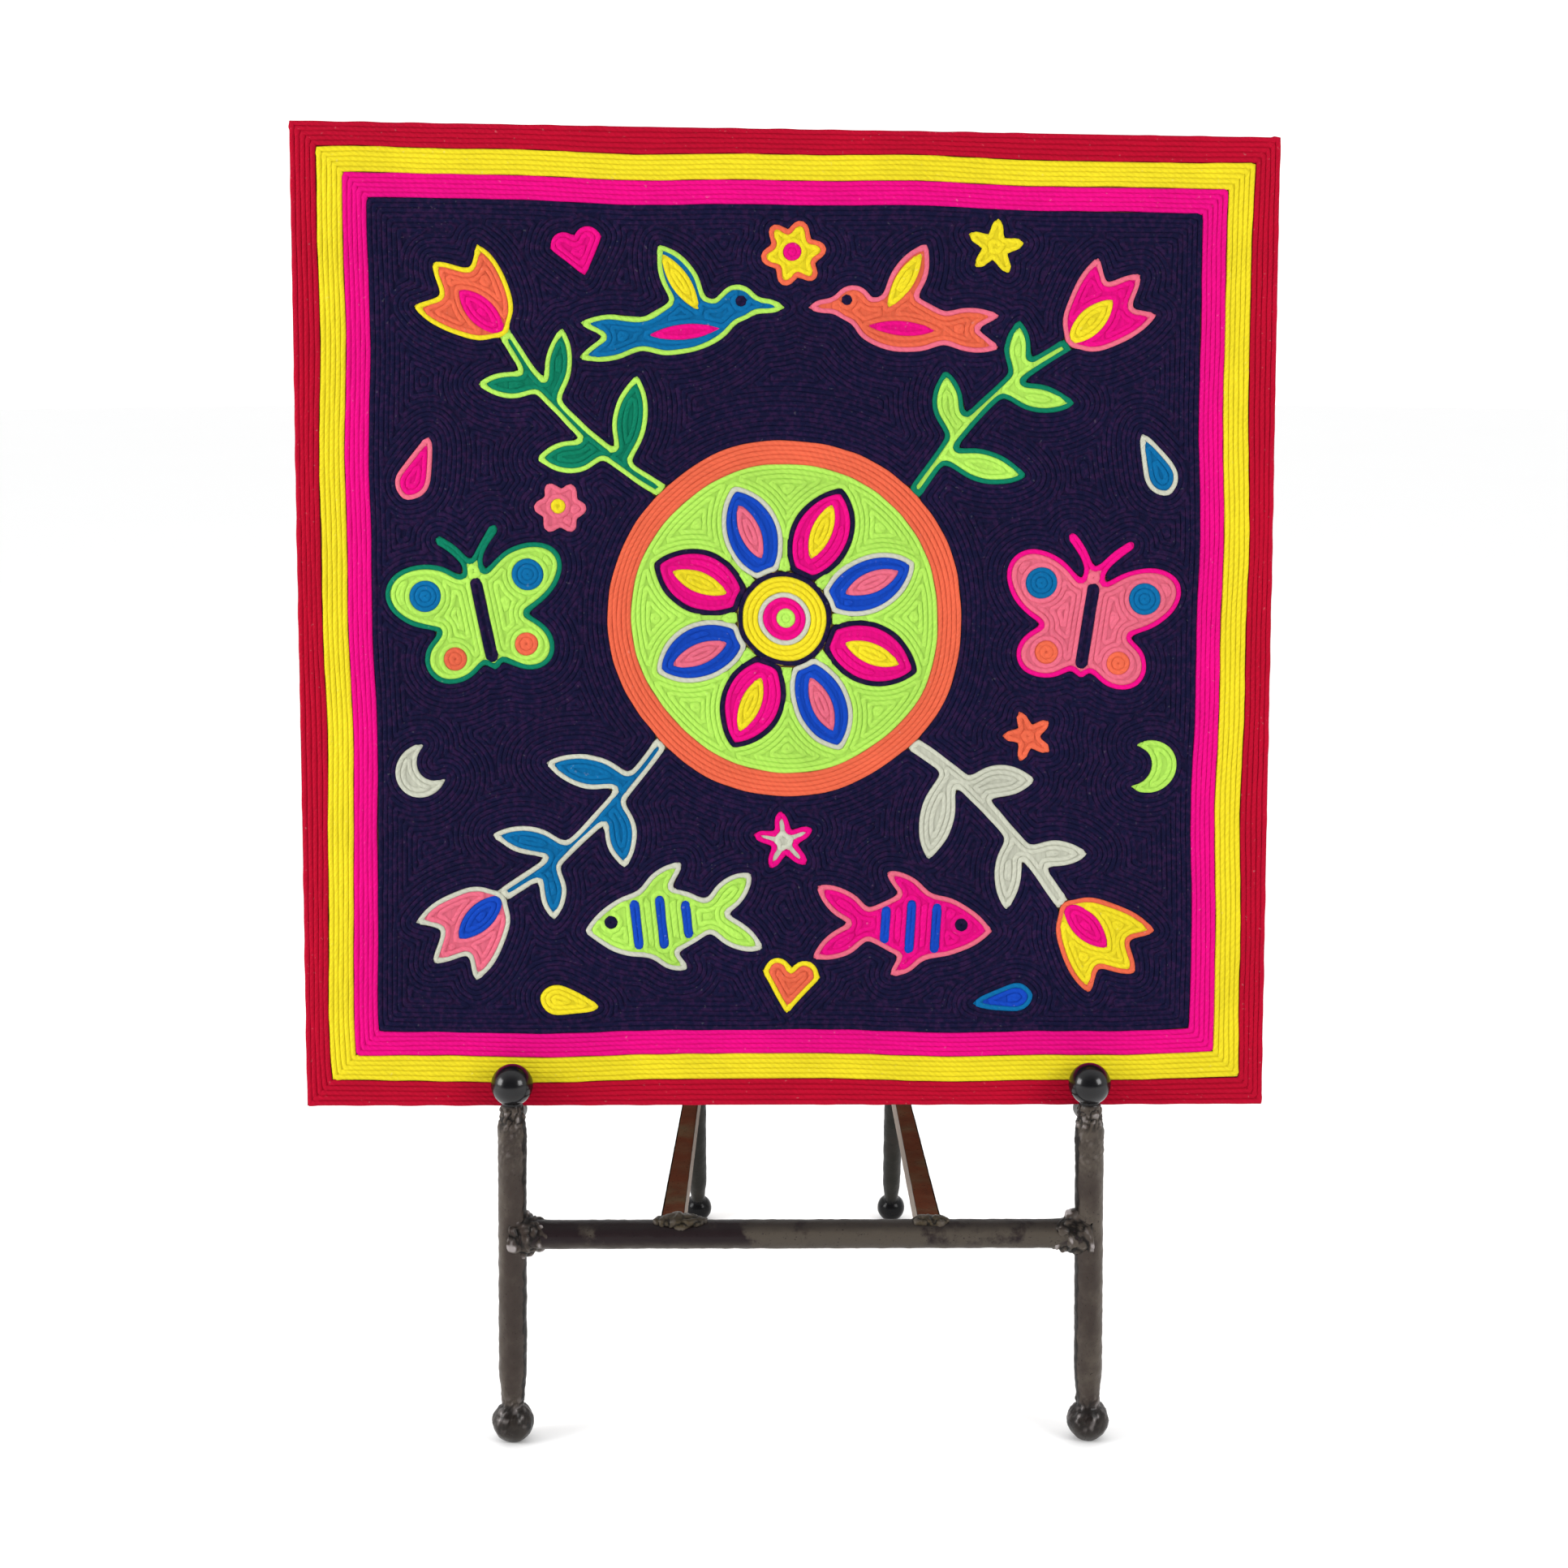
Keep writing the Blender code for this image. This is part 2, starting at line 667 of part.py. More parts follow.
def crossbar_stations(length):
    """A bar whose two welded ends swell where they meet the posts."""
    half = (
        (0.0, 0.0),
        (0.0, WELD_RADIUS),
        (WELD_LENGTH / 3, WELD_RADIUS),
        (WELD_LENGTH * 2 / 3, WELD_WAIST),
        (WELD_LENGTH, CROSSBAR_RADIUS),
    )
    return tuple((length - x, r) for x, r in half) + half[::-1]


def on_line(start, end, height):
    """The point of a line at a height."""
    return start + (end - start) * ((height - start.z) / (end.z - start.z))


def rail(name, front, rear, group):
    """A flat bar on its edge that narrows towards the rear, with eased corners."""
    obj = unit_cube(name, group, "iron")
    length = (rear - front).length
    for vertex in obj.data.vertices:
        width = RAIL_FRONT_WIDTH if vertex.co.y < 0 else RAIL_REAR_WIDTH
        vertex.co = Vector((vertex.co.x * width, vertex.co.y * length, vertex.co.z * RAIL_HEIGHT)) * MM
    obj.location = (front + rear) / 2 * MM
    obj.rotation_euler.z = math.atan2(front.x - rear.x, rear.y - front.y)
    bevel = obj.modifiers.new("eased corners", "BEVEL")
    bevel.width = RAIL_BEVEL * MM
    bevel.segments = 1
    return obj


def build_easel(group, cutters):
    floor = floor_cutter(cutters)
    fat_posts = []
    for side, word in ((-1, "left"), (1, "right")):
        foot, top = post_line(side)
        stations = post_stations((top - foot).length)
        post = turned(f"post_{word}", stations, foot, top, group)
        cut(post, floor)
        fat_posts.append(as_cutter(turned(f"fat_post_{word}", stations, foot, top, cutters, None, GAP)))

    ends = [on_line(*post_line(side), CROSSBAR_Z) - Vector((side * WELD_START, 0, 0)) for side in (-1, 1)]
    stations = crossbar_stations((ends[1] - ends[0]).length)
    crossbar = turned("crossbar", stations, *ends, group)
    cut(crossbar, *fat_posts)
    fat_crossbar = as_cutter(turned("fat_crossbar", stations, *ends, cutters, None, GAP))

    middle, up, front = painting_frame()
    for side, word, fat_post in ((-1, "left", fat_posts[0]), (1, "right", fat_posts[1])):
        foot, top = leg_line(side)
        stations = leg_stations((top - foot).length)
        leg = turned(f"rear_leg_{word}", stations, foot, top, group)
        cut(leg, floor)
        fat_leg = as_cutter(turned(f"fat_leg_{word}", stations, foot, top, cutters, None, GAP))

        rail_z = RAIL_TOP_Z - RAIL_HEIGHT / 2
        rail_front = Vector((EASEL_X + side * RAIL_X, POST_Y, rail_z))
        bar = rail(f"rail_{word}", rail_front, on_line(foot, top, rail_z), group)
        cut(bar, fat_crossbar, fat_leg)

        under = middle - up * (HALF_HEIGHT + LEDGE_RADIUS + GAP)
        under.x = on_line(*post_line(side), under.z).x
        inner_end = under - front * LEDGE_PAST_BOARD
        outer_end = under + front * ((under.y - POST_Y) / -front.y)
        length = (inner_end - outer_end).length
        stations = (*rounded_end(length, LEDGE_RADIUS), (0, LEDGE_RADIUS), (0, 0))
        ledge = turned(f"ledge_{word}", stations, outer_end, inner_end, group)
        cut(ledge, fat_post)

    half = Vector((BACK_BAR_LENGTH / 2, 0, 0))
    stations = rounded_end(BACK_BAR_LENGTH, BACK_BAR_RADIUS)
    stations = (*stations, *((BACK_BAR_LENGTH - s, r) for s, r in stations[::-1]))
    turned("back_bar", stations, back_bar_middle() - half, back_bar_middle() + half, group)


def main():
    clear_scene()
    group = collection("yarn_painting_on_easel")
    cutters = collection("cutters")
    build_painting(group)
    build_easel(group, cutters)


main()
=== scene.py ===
"""The looks of a yarn painting on its iron display easel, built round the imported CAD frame.

Yarn is laid row by row inside the outline of each area of the picture, as it is pressed into wax by hand.
The easel's bars are forged again with their lumps, welds and worn lacquer. Sizes in the settings are in
metres; the painting's own plane is worked out in millimetres, u across and w up its slope.
"""

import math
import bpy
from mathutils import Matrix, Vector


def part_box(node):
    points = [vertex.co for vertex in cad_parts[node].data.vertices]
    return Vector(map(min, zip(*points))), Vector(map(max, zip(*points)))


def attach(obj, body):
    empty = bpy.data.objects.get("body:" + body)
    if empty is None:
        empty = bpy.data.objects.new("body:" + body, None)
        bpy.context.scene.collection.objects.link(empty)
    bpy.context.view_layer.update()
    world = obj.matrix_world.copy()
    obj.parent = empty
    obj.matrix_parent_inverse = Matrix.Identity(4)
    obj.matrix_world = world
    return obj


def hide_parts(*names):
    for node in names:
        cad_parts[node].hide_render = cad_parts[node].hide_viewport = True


bl_info = {
    "name": "Yarn painting on an iron easel",
    "version": (1, 0, 0),
    "blender": (4, 5, 0),
    "location": "3D View > Sidebar > Yarn painting",
    "description": "Lays the yarn of a waxed picture row by row, and forges the small easel that it leans on",
    "category": "Object",
}

from collections import namedtuple

import bpy
import numpy as np
from bpy.props import FloatProperty, FloatVectorProperty, IntProperty, PointerProperty
from mathutils import Matrix, Vector, noise
from mathutils.geometry import tessellate_polygon

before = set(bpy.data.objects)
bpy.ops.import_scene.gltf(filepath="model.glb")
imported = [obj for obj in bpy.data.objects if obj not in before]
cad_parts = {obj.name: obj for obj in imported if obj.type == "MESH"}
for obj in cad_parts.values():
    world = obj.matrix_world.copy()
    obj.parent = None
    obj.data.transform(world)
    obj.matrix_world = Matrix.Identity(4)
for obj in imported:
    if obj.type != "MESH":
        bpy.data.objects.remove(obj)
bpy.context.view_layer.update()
MM = 0.001
BOARD_HALF = 150.0  # from the painting's middle down to its bottom edge, in mm

# What a user would change


class YarnColours(bpy.types.PropertyGroup):
    red: FloatVectorProperty(
        name="Red", description="Yarn of the outer band", subtype="COLOR", default=(0.374, 0.0008, 0.0187))
    yellow: FloatVectorProperty(
        name="Yellow", description="Yarn of the second band", subtype="COLOR", default=(0.66, 0.545, 0.014))
    magenta: FloatVectorProperty(
        name="Magenta", description="Yarn of the inner band", subtype="COLOR", default=(0.63, 0.0004, 0.175))
    navy: FloatVectorProperty(
        name="Navy", description="Yarn of the ground", subtype="COLOR", default=(0.003, 0.003, 0.024))
    plum: FloatVectorProperty(
        name="Plum", description="Flecks in the navy yarn", subtype="COLOR", default=(0.017, 0.0051, 0.0357))
    orange: FloatVectorProperty(
        name="Orange", description="Coral orange yarn", subtype="COLOR", default=(0.629, 0.1062, 0.051))
    pink: FloatVectorProperty(
        name="Pink", description="Salmon pink yarn", subtype="COLOR", default=(0.6205, 0.1148, 0.1785))
    lime: FloatVectorProperty(
        name="Lime", description="Bright lime yarn", subtype="COLOR", default=(0.3485, 0.6205, 0.085))
    green: FloatVectorProperty(
        name="Green", description="Emerald yarn", subtype="COLOR", default=(0.0008, 0.155, 0.085))
    cerulean: FloatVectorProperty(
        name="Cerulean", description="Cerulean yarn", subtype="COLOR", default=(0.0004, 0.1105, 0.2848))
    blue: FloatVectorProperty(
        name="Blue", description="Royal blue yarn", subtype="COLOR", default=(0.0034, 0.0476, 0.3825))
    white: FloatVectorProperty(
        name="White", description="Undyed yarn", subtype="COLOR", default=(0.4505, 0.459, 0.374))
    wax: FloatVectorProperty(
        name="Wax", description="Wax that the yarn lies in", subtype="COLOR", default=(0.5, 0.27, 0.07))
    board: FloatVectorProperty(
        name="Board", description="Pressed board behind the yarn", subtype="COLOR", default=(0.3, 0.16, 0.07))


class YarnSizes(bpy.types.PropertyGroup):
    row_width: FloatProperty(
        name="Row width", description="Width of one laid row of yarn", default=0.0015, min=0.0008,
        max=0.004, unit="LENGTH")
    row_rise: FloatProperty(
        name="Row rise", description="How far a row's crown stands over the seam beside it",
        default=0.00038, min=0.0001, max=0.002, unit="LENGTH")
    row_step: FloatProperty(
        name="Row step", description="Distance between the rings of a row's mesh", default=0.0011,
        min=0.0005, max=0.003, unit="LENGTH")
    twist: FloatProperty(
        name="Twist", description="Length of one turn of the yarn's plies", default=0.0021,
        min=0.0005, max=0.01, unit="LENGTH")
    waver: FloatProperty(
        name="Waver", description="How far a hand-laid row strays from its line", default=0.00007,
        min=0.0, max=0.0005, unit="LENGTH")
    band_rows: IntProperty(
        name="Band rows", description="Rows of yarn in each border band", default=5, min=2, max=10)


class IronSettings(bpy.types.PropertyGroup):
    lacquer: FloatVectorProperty(
        name="Lacquer", description="Dark brown lacquer over the iron", subtype="COLOR",
        default=(0.026, 0.019, 0.016))
    # The iron's undersides and outer sides are also mixed towards this colour, or a darker copy of it, as
    # painted reflections.
    worn: FloatVectorProperty(
        name="Worn", description="Greyish brown where the lacquer is thin", subtype="COLOR",
        default=(0.085, 0.07, 0.055))
    polished: FloatVectorProperty(
        name="Polished", description="Thick black lacquer on the balls", subtype="COLOR",
        default=(0.004, 0.004, 0.005))
    # Partly painted highlight: the pale crowns of the weld drops stand in for glints as well as bare metal.
    bright: FloatVectorProperty(
        name="Bright weld", description="Bare metal on the crowns of the weld lumps", subtype="COLOR",
        default=(0.3, 0.27, 0.265))
    # Partly painted light: the rails' inner sides are made paler as lit faces, as well as rubbed bare.
    bare_and_lit: FloatVectorProperty(
        name="Bare side", description="The rails' inner sides, rubbed bare", subtype="COLOR",
        default=(0.22, 0.188, 0.165))
    rust: FloatVectorProperty(
        name="Rust", description="Rust brown on the rails", subtype="COLOR", default=(0.07, 0.022, 0.012))
    scale: FloatVectorProperty(
        name="Weld scale", description="Olive brown scale on the rail welds", subtype="COLOR",
        default=(0.07, 0.052, 0.03))
    lumps: FloatProperty(
        name="Lumps", description="Depth of the hammer marks on the bars", default=0.00016, min=0.0,
        max=0.001, unit="LENGTH")


class StageSettings(bpy.types.PropertyGroup):
    floor: FloatVectorProperty(
        name="Floor", description="Plain pale floor", subtype="COLOR", default=(0.97, 0.97, 0.97))
    sky: FloatProperty(
        name="Sky", description="Strength of the plain light from behind and above", default=1.25)
    front: FloatProperty(
        name="Front", description="Strength of the plain light from the front, where the room is dimmer",
        default=0.15)
    softboxes: FloatProperty(
        name="Softboxes", description="Power of the left studio light; the right one has less",
        default=13.0, min=0.0, unit="POWER")
    view_angle: FloatProperty(
        name="Angle of view", description="The camera's angle of view, from side to side",
        default=math.radians(33.636), subtype="ANGLE")


# How each area of the picture is laid: from its edge inwards in rows, with small spots of other yarn


def disc(x, y, radius):
    return lambda u, w: np.hypot(u - x, w - y) - radius


def pointed(ax, ay, bx, by, width):
    """A pointed oval from a to b."""
    half = math.dist((ax, ay), (bx, by)) / 2
    radius = (half**2 + (width / 2) ** 2) / width
    offset = radius - width / 2
    turn = math.atan2(by - ay, bx - ax)

    def shape(u, w):
        p, q = turned(u - (ax + bx) / 2, w - (ay + by) / 2, turn)
        return np.hypot(p, np.abs(q) + offset) - radius

    return shape


def strip(ax, ay, bx, by, width):
    """A straight strip from a to b, with round ends."""
    def shape(u, w):
        du, dw = bx - ax, by - ay
        share = np.clip(((u - ax) * du + (w - ay) * dw) / (du**2 + dw**2), 0, 1)
        return np.hypot(u - ax - share * du, w - ay - share * dw) - width / 2

    return shape


def turned(u, w, turn):
    c, s = math.cos(turn), math.sin(turn)
    return u * c + w * s, w * c - u * s


Place = namedtuple("Place", "u w turn size flip", defaults=(0, 1, 1))
Area = namedtuple("Area", "fill edge edge_rows spots place", defaults=(None, 0, (), None))

WINGS = (
    ("navy", strip(0, -11, 0, 11, 3.6)),
    ("cerulean", disc(-15.5, 10.5, 4.7)),
    ("cerulean", disc(15.5, 10.5, 4.7)),
    ("orange", disc(-10.8, -9.5, 3.5)),
    ("orange", disc(10.8, -9.5, 3.5)),
)
PLUMES = (
    ("navy", disc(18.6, 10.2, 1.9)),
    ("yellow", pointed(4.5, 6.0, -9.5, 24.5, 6.6)),
    ("magenta", pointed(-12, -3.5, 12, 0.5, 5.2)),
)
SCALES = (
    ("navy", disc(15.5, 1.6, 2.1)),
    ("blue", strip(7.5, -6.5, 7.5, 6.5, 2.9)),
    ("blue", strip(-0.5, -7.2, -0.5, 7.2, 2.9)),
    ("blue", strip(-8.5, -4.6, -8.5, 4.6, 2.9)),
)
CALYX = pointed(0, 62, 0, 80, 7.5)
MIDDLE = Place(0.0, 1.0, 0, 1)


def petal(index):
    fill, vein = (("blue", "pink"), ("magenta", "yellow"))[index % 2]
    spots = ((vein, pointed(19.5, 0, 38, 0, 6.4)),)
    return Area(fill, "white" if index % 2 == 0 else "navy", 1, spots, Place(0.0, 1.0, 22.5 + 45 * index, 1))


AREAS = {
    "ground": Area("navy"),
    "medallion_heart": Area("magenta", "white", 1, (("lime", disc(0, 0, 3.0)),), MIDDLE),
    "medallion_field": Area("lime"),
    **{f"petal_{i + 1}": petal(i) for i in range(8)},
    "tulip_upper_left": Area("orange", "yellow", 1, (("magenta", CALYX),), Place(-39.0, 40.5, 45, 1.08)),
    "tulip_upper_right": Area("magenta", "pink", 1, (("yellow", CALYX),), Place(39.5, 39.5, -46, 1.06)),
    "tulip_lower_left": Area("pink", "white", 1, (("blue", CALYX),), Place(-39.5, -38.0, 134, 1.08)),
    "tulip_lower_right": Area("yellow", "orange", 1, (("magenta", CALYX),), Place(39.0, -38.5, -136, 1.09)),
    "sprig_upper_left": Area("green", "lime", 1),
    "sprig_upper_right": Area("lime", "green", 1),
    "sprig_lower_left": Area("cerulean", "white", 1),
    "sprig_lower_right": Area("white"),
    "butterfly_left": Area("lime", "green", 1, WINGS, Place(-93.0, 0.5, 12, 1.04)),
    "butterfly_right": Area("pink", "magenta", 1, WINGS, Place(93.0, -1.5, -9, 1.04)),
    "bird_left": Area("cerulean", "lime", 1, PLUMES, Place(-31.0, 90.0, -4, 0.9)),
    "bird_right": Area("orange", "pink", 1, PLUMES, Place(35.5, 91.0, 185, 0.86, -1)),
    "fish_left": Area("lime", "white", 1, SCALES, Place(-39.0, -93.0, 186, 0.98, -1)),
    "fish_right": Area("magenta", "pink", 1, SCALES, Place(39.0, -94.5, -4, 0.98)),
    "rosette_top": Area("yellow", "orange", 1, (("magenta", disc(0, 0, 3.4)),), Place(2.0, 113.0, 10, 0.85)),
    "rosette_upper_left": Area("pink", None, 0, (("yellow", disc(0, 0, 3.6)),), Place(-70.0, 35.5, 0, 0.66)),
    "star_bottom": Area("white", "magenta", 1, (), Place(0.0, -68.0, 8, 0.78)),
    "star_lower_right": Area("orange"),
    "star_top_right": Area("yellow"),
    "heart_bottom": Area("orange", "yellow", 1),
    "heart_top_left": Area("magenta"),
    "drop_left_upper": Area("magenta", "pink", 1),
    "drop_right_upper": Area("cerulean", "white", 1),
    "drop_bottom_left": Area("yellow"),
    "drop_bottom_right": Area("blue", "cerulean", 1),
    "crescent_left": Area("white"),
    "crescent_right": Area("lime"),
}

# Areas laid round and round between an outer and an inner edge: node, rows and their colours from outside
RINGS = {
    "medallion_rim": ("orange",) * 5,
    "medallion_hub": ("navy", "yellow", "yellow", "yellow"),
}
BANDS = {"band_red": "red", "band_yellow": "yellow", "band_magenta": "magenta"}

# Lengths in the painting's plane, in mm where nothing else is said
GRID_STEP = 0.5
GRID_MARGIN = 2.0
FRONT_SLACK = 0.05  # points this near a plate's front face count as on it
MOST_PAIRS, FEWEST_POINTS = 40000, 16  # from which a set of points is halved, and down to which
MEET = 0.15  # how far an area's rows reach past its CAD outline, to meet its neighbour's
SHORTEST_ROW = 2.2
SEAM_DROP = 0.18  # how far a row's two edges go down between its neighbours
ACROSS = np.array([0.0, 0.17, 0.5, 0.83, 1.0])
CROWN = np.sqrt(np.clip(1 - (2 * ACROSS - 1) ** 2, 0, 1))
CROWN_OVER_CAD = 0.1  # how far a row's crown stands over the CAD plate's front
BED_UNDER_CROWN = 0.02  # how far the wax under the rows lies below their edges
LAYER_STEP = 0.012
WAX_INSET = 0.4  # from the board's edge to the wax's
WAX_LEVELS = (0.03, 0.27)  # the wax's underside and its top, over the board's front
SCREEN_PITCH = 0.0017  # of the press's screen, printed on the board's back, in metres


# The painting's plane, and outlines and distances in it


def painting_plane():
    """From the painting's plane to the world: x across, y up the slope, z to the front, in metres."""
    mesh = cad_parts["board"].data
    face = max(mesh.polygons, key=lambda f: f.area if f.normal.y < 0 else 0.0)
    front = face.normal.normalized()
    up = front.cross(Vector((1, 0, 0))).normalized()
    bottom = min(v.co.dot(up) for v in mesh.vertices)
    back = min(v.co.dot(front) for v in mesh.vertices)
    plane = Matrix((Vector((1, 0, 0)), up, front)).transposed().to_4x4()
    plane.translation = up * (bottom + BOARD_HALF * MM) + front * back
    return plane


PLANE = painting_plane()


def plate_points(node):
    """A CAD plate's vertices in the painting's plane, in mm."""
    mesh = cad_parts[node].data
    points = np.empty(len(mesh.vertices) * 3)
    mesh.vertices.foreach_get("co", points)
    to_plane = np.array(PLANE.inverted())
    return (points.reshape(-1, 3) @ to_plane[:3, :3].T + to_plane[:3, 3]) / MM


def front_outlines(node):
    """The closed outlines of a CAD plate's front face, as arrays of (u, w) points."""
    points = plate_points(node)
    top = points[:, 2].max() - FRONT_SLACK
    following = {}
    keys = [tuple(p) for p in np.round(points[:, :2], 3)]
    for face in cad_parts[node].data.polygons:
        if points[list(face.vertices), 2].min() < top:
            continue
        around = [keys[i] for i in face.vertices]
        for a, b in zip(around, around[1:] + around[:1]):
            if (b, a) in following:
                del following[(b, a)]
            else:
                following[(a, b)] = True
    after = dict(following.keys())
    loops = []
    while after:
        start, here = after.popitem()
        loop = [start]
        while here in after:
            loop.append(here)
            here = after.pop(here)
        loops.append(np.array(loop))
    return sorted(loops, key=lambda loop: -enclosed(loop))


def enclosed(loop):
    following = np.roll(loop, -1, 0)
    return abs((loop[:, 0] * following[:, 1] - following[:, 0] * loop[:, 1]).sum()) / 2


def rounded(loop, sharp=math.radians(48)):
    """The outline with its gentle corners made into curves, through the same points."""
    before, after = loop - np.roll(loop, 1, 0), np.roll(loop, -1, 0) - loop
    turn = np.arctan2(before[:, 0] * after[:, 1] - before[:, 1] * after[:, 0], (before * after).sum(1))
    tangent = before + after
    tangent /= np.maximum(np.hypot(*tangent.T), 1e-9)[:, None]
    curve = []
    for i, run in enumerate(after):
        j, length = (i + 1) % len(loop), math.hypot(*run)
        leave = run if abs(turn[i]) > sharp else tangent[i] * length
        reach = run if abs(turn[j]) > sharp else tangent[j] * length
        t = np.linspace(0, 1, max(1, round(length)), endpoint=False)[:, None]
        curve.append((2 * t**3 - 3 * t**2 + 1) * loop[i] + (t**3 - 2 * t**2 + t) * leave
                     + (3 * t**2 - 2 * t**3) * loop[j] + (t**3 - t**2) * reach)
    return np.vstack(curve)


def gaps(points, edges):
    """The squared distances of points from edges, with a row for each point."""
    start, run = edges[:, :2], edges[:, 2:] - edges[:, :2]
    to_point = points[:, None] - start
    share = (to_point * run).sum(2) / np.maximum((run**2).sum(1), 1e-12)
    return ((to_point - np.clip(share, 0, 1)[..., None] * run) ** 2).sum(2)


def nearest_edges(points, index, edges, away):
    """Writes each point's distance to the nearest edge, halving the points until few edges are near."""
    if len(points) * len(edges) <= MOST_PAIRS or len(points) <= FEWEST_POINTS:
        away[index] = np.sqrt(gaps(points, edges).min(1))
        return
    low, high = points.min(0), points.max(0)
    reach = np.sqrt(gaps((low + high)[None] / 2, edges)[0])
    near = edges[reach <= reach.min() + np.hypot(*(high - low))]
    longer = np.argmax(high - low)
    side = points[:, longer] < (low + high)[longer] / 2
    for half in (side, ~side):
        nearest_edges(points[half], index[half], near, away)


def depths(loops, at_u, at_w):
    """Distances from the outlines at each crossing of a grid, less than zero inside them."""
    edges = np.vstack([np.hstack([loop, np.roll(loop, -1, 0)]) for loop in loops])
    u, w = np.meshgrid(at_u, at_w, indexing="ij")
    away = np.empty(u.size)
    nearest_edges(np.stack([u.ravel(), w.ravel()], 1), np.arange(u.size), edges, away)
    crossed = np.zeros(u.shape, int)
    for au, aw, bu, bw in edges:
        first, last = np.searchsorted(at_u, sorted((au, bu)))
        columns = np.arange(first, last)
        rows = np.searchsorted(at_w, aw + (at_u[columns] - au) * (bw - aw) / (bu - au or 1))
        kept = rows < len(at_w)
        np.add.at(crossed, (columns[kept], rows[kept]), 1)
    inside = np.cumsum(crossed, 1) % 2 == 1
    return np.where(inside, -1, 1) * away.reshape(u.shape)


def grid_over(loops):
    points = np.vstack(loops)
    low, high = points.min(0) - GRID_MARGIN, points.max(0) + GRID_MARGIN
    return np.arange(low[0], high[0], GRID_STEP), np.arange(low[1], high[1], GRID_STEP)


def lines_at(field, level, at_u, at_w):
    """The closed lines where a field on a grid crosses a level."""
    field = field - level
    inside = field < 0
    count = inside[:-1, :-1].astype(int) + inside[1:, :-1] + inside[1:, 1:] + inside[:-1, 1:]
    following, place_of = {}, {}
    for i, j in zip(*(k.tolist() for k in np.nonzero((count > 0) & (count < 4)))):
        cell = ((i, j), (i + 1, j), (i + 1, j + 1), (i, j + 1))
        leaving, entering = [], []
        for a, b in zip(cell, cell[1:] + cell[:1]):
            if inside[a] == inside[b]:
                continue
            edge = (min(a, b), max(a, b))
            share = field[a] / (field[a] - field[b])
            place_of[edge] = (
                at_u[a[0]] + share * (at_u[b[0]] - at_u[a[0]]),
                at_w[a[1]] + share * (at_w[b[1]] - at_w[a[1]]),
            )
            (leaving if inside[a] else entering).append((len(leaving) + len(entering), edge))
        for order, edge in leaving:
            following[edge] = [e for n, e in entering if n == (order + 1) % (2 * len(leaving))][0]
    loops = []
    while following:
        edge, after = following.popitem()
        loop = [place_of[edge]]
        while after in following:
            loop.append(place_of[after])
            after = following.pop(after)
        loops.append(np.array(loop))
    return loops


# Rows of yarn

Row = namedtuple("Row", "colour loop")
Patch = namedtuple("Patch", "colour layer loops")


def length_of(loop):
    return np.hypot(*(np.roll(loop, -1, 0) - loop).T).sum()


def evened(loop, step):
    """The closed loop with points at even distances."""
    closed = np.vstack([loop, loop[:1]])
    run = np.concatenate([[0], np.cumsum(np.hypot(*np.diff(closed, axis=0).T))])
    count = max(7, round(run[-1] / step))
    at = np.linspace(0, run[-1], count, endpoint=False)
    return np.stack([np.interp(at, run, closed[:, k]) for k in (0, 1)], 1)


def softened(loop, rounds=3):
    """The closed loop with its corners rounded, as yarn turns them."""
    loop = evened(loop, GRID_STEP)
    for _ in range(rounds):
        loop = loop / 2 + (np.roll(loop, 1, 0) + np.roll(loop, -1, 0)) / 4
    return loop


def filled(field, colour, width, at_u, at_w):
    """Rows that follow the edge of an area inwards until it is full."""
    rows = []
    level = -width / 2
    while level > field.min():
        rows += [Row(colour, softened(loop)) for loop in lines_at(field, level, at_u, at_w)]
        level -= width
    return [row for row in rows if length_of(row.loop) > SHORTEST_ROW]


def rows_in_area(node, width):
    """The rows of an area and its spots, and the patches of coloured wax that show in their seams."""
    area = AREAS[node]
    loops = [rounded(loop) for loop in front_outlines(node)]
    at_u, at_w = grid_over(loops)
    field = depths(loops, at_u, at_w) - MEET
    rows, patches = [], []
    for k in range(area.edge_rows):
        edge_lines = lines_at(field, -(k + 0.5) * width, at_u, at_w)
        rows += [Row(area.edge, softened(loop, 1)) for loop in edge_lines]
    field = field + area.edge_rows * width
    if area.edge_rows:
        patches.append(Patch(area.fill, 1, lines_at(field, 0, at_u, at_w)))
    if area.place:
        u, w = np.meshgrid(at_u, at_w, indexing="ij")
        p, q = turned(u - area.place.u, w - area.place.w, math.radians(area.place.turn))
        p, q = p / area.place.size, q * area.place.flip / area.place.size
        for colour, shape in area.spots:
            spot = np.maximum(shape(p, q) * area.place.size, field)
            rows += filled(spot, colour, width, at_u, at_w)
            patches.append(Patch(colour, 2, lines_at(spot, 0, at_u, at_w)))
            field = np.maximum(field, -spot)
    return rows + filled(field, area.fill, width, at_u, at_w), patches


def by_sides(loop, counts=None):
    """The loop from corner to corner, with a set count of even steps along each of its four sides."""
    following = np.roll(loop, -1, 0)
    if (loop[:, 0] * following[:, 1] - following[:, 0] * loop[:, 1]).sum() < 0:
        loop = loop[::-1]
    corners = [int(np.argmax(loop @ towards)) for towards in ((-1, 1), (-1, -1), (1, -1), (1, 1))]
    sides = []
    for k, corner in enumerate(corners):
        side = np.roll(loop, -corner, 0)
        side = side[:(corners[(k + 1) % 4] - corner) % len(loop) + 1]
        run = np.concatenate([[0], np.cumsum(np.hypot(*np.diff(side, axis=0).T))])
        count = counts[k] if counts else round(run[-1] / GRID_STEP)
        at = np.linspace(0, run[-1], count, endpoint=False)
        sides.append(np.stack([np.interp(at, run, side[:, i]) for i in (0, 1)], 1))
    return np.vstack(sides), [len(side) for side in sides]


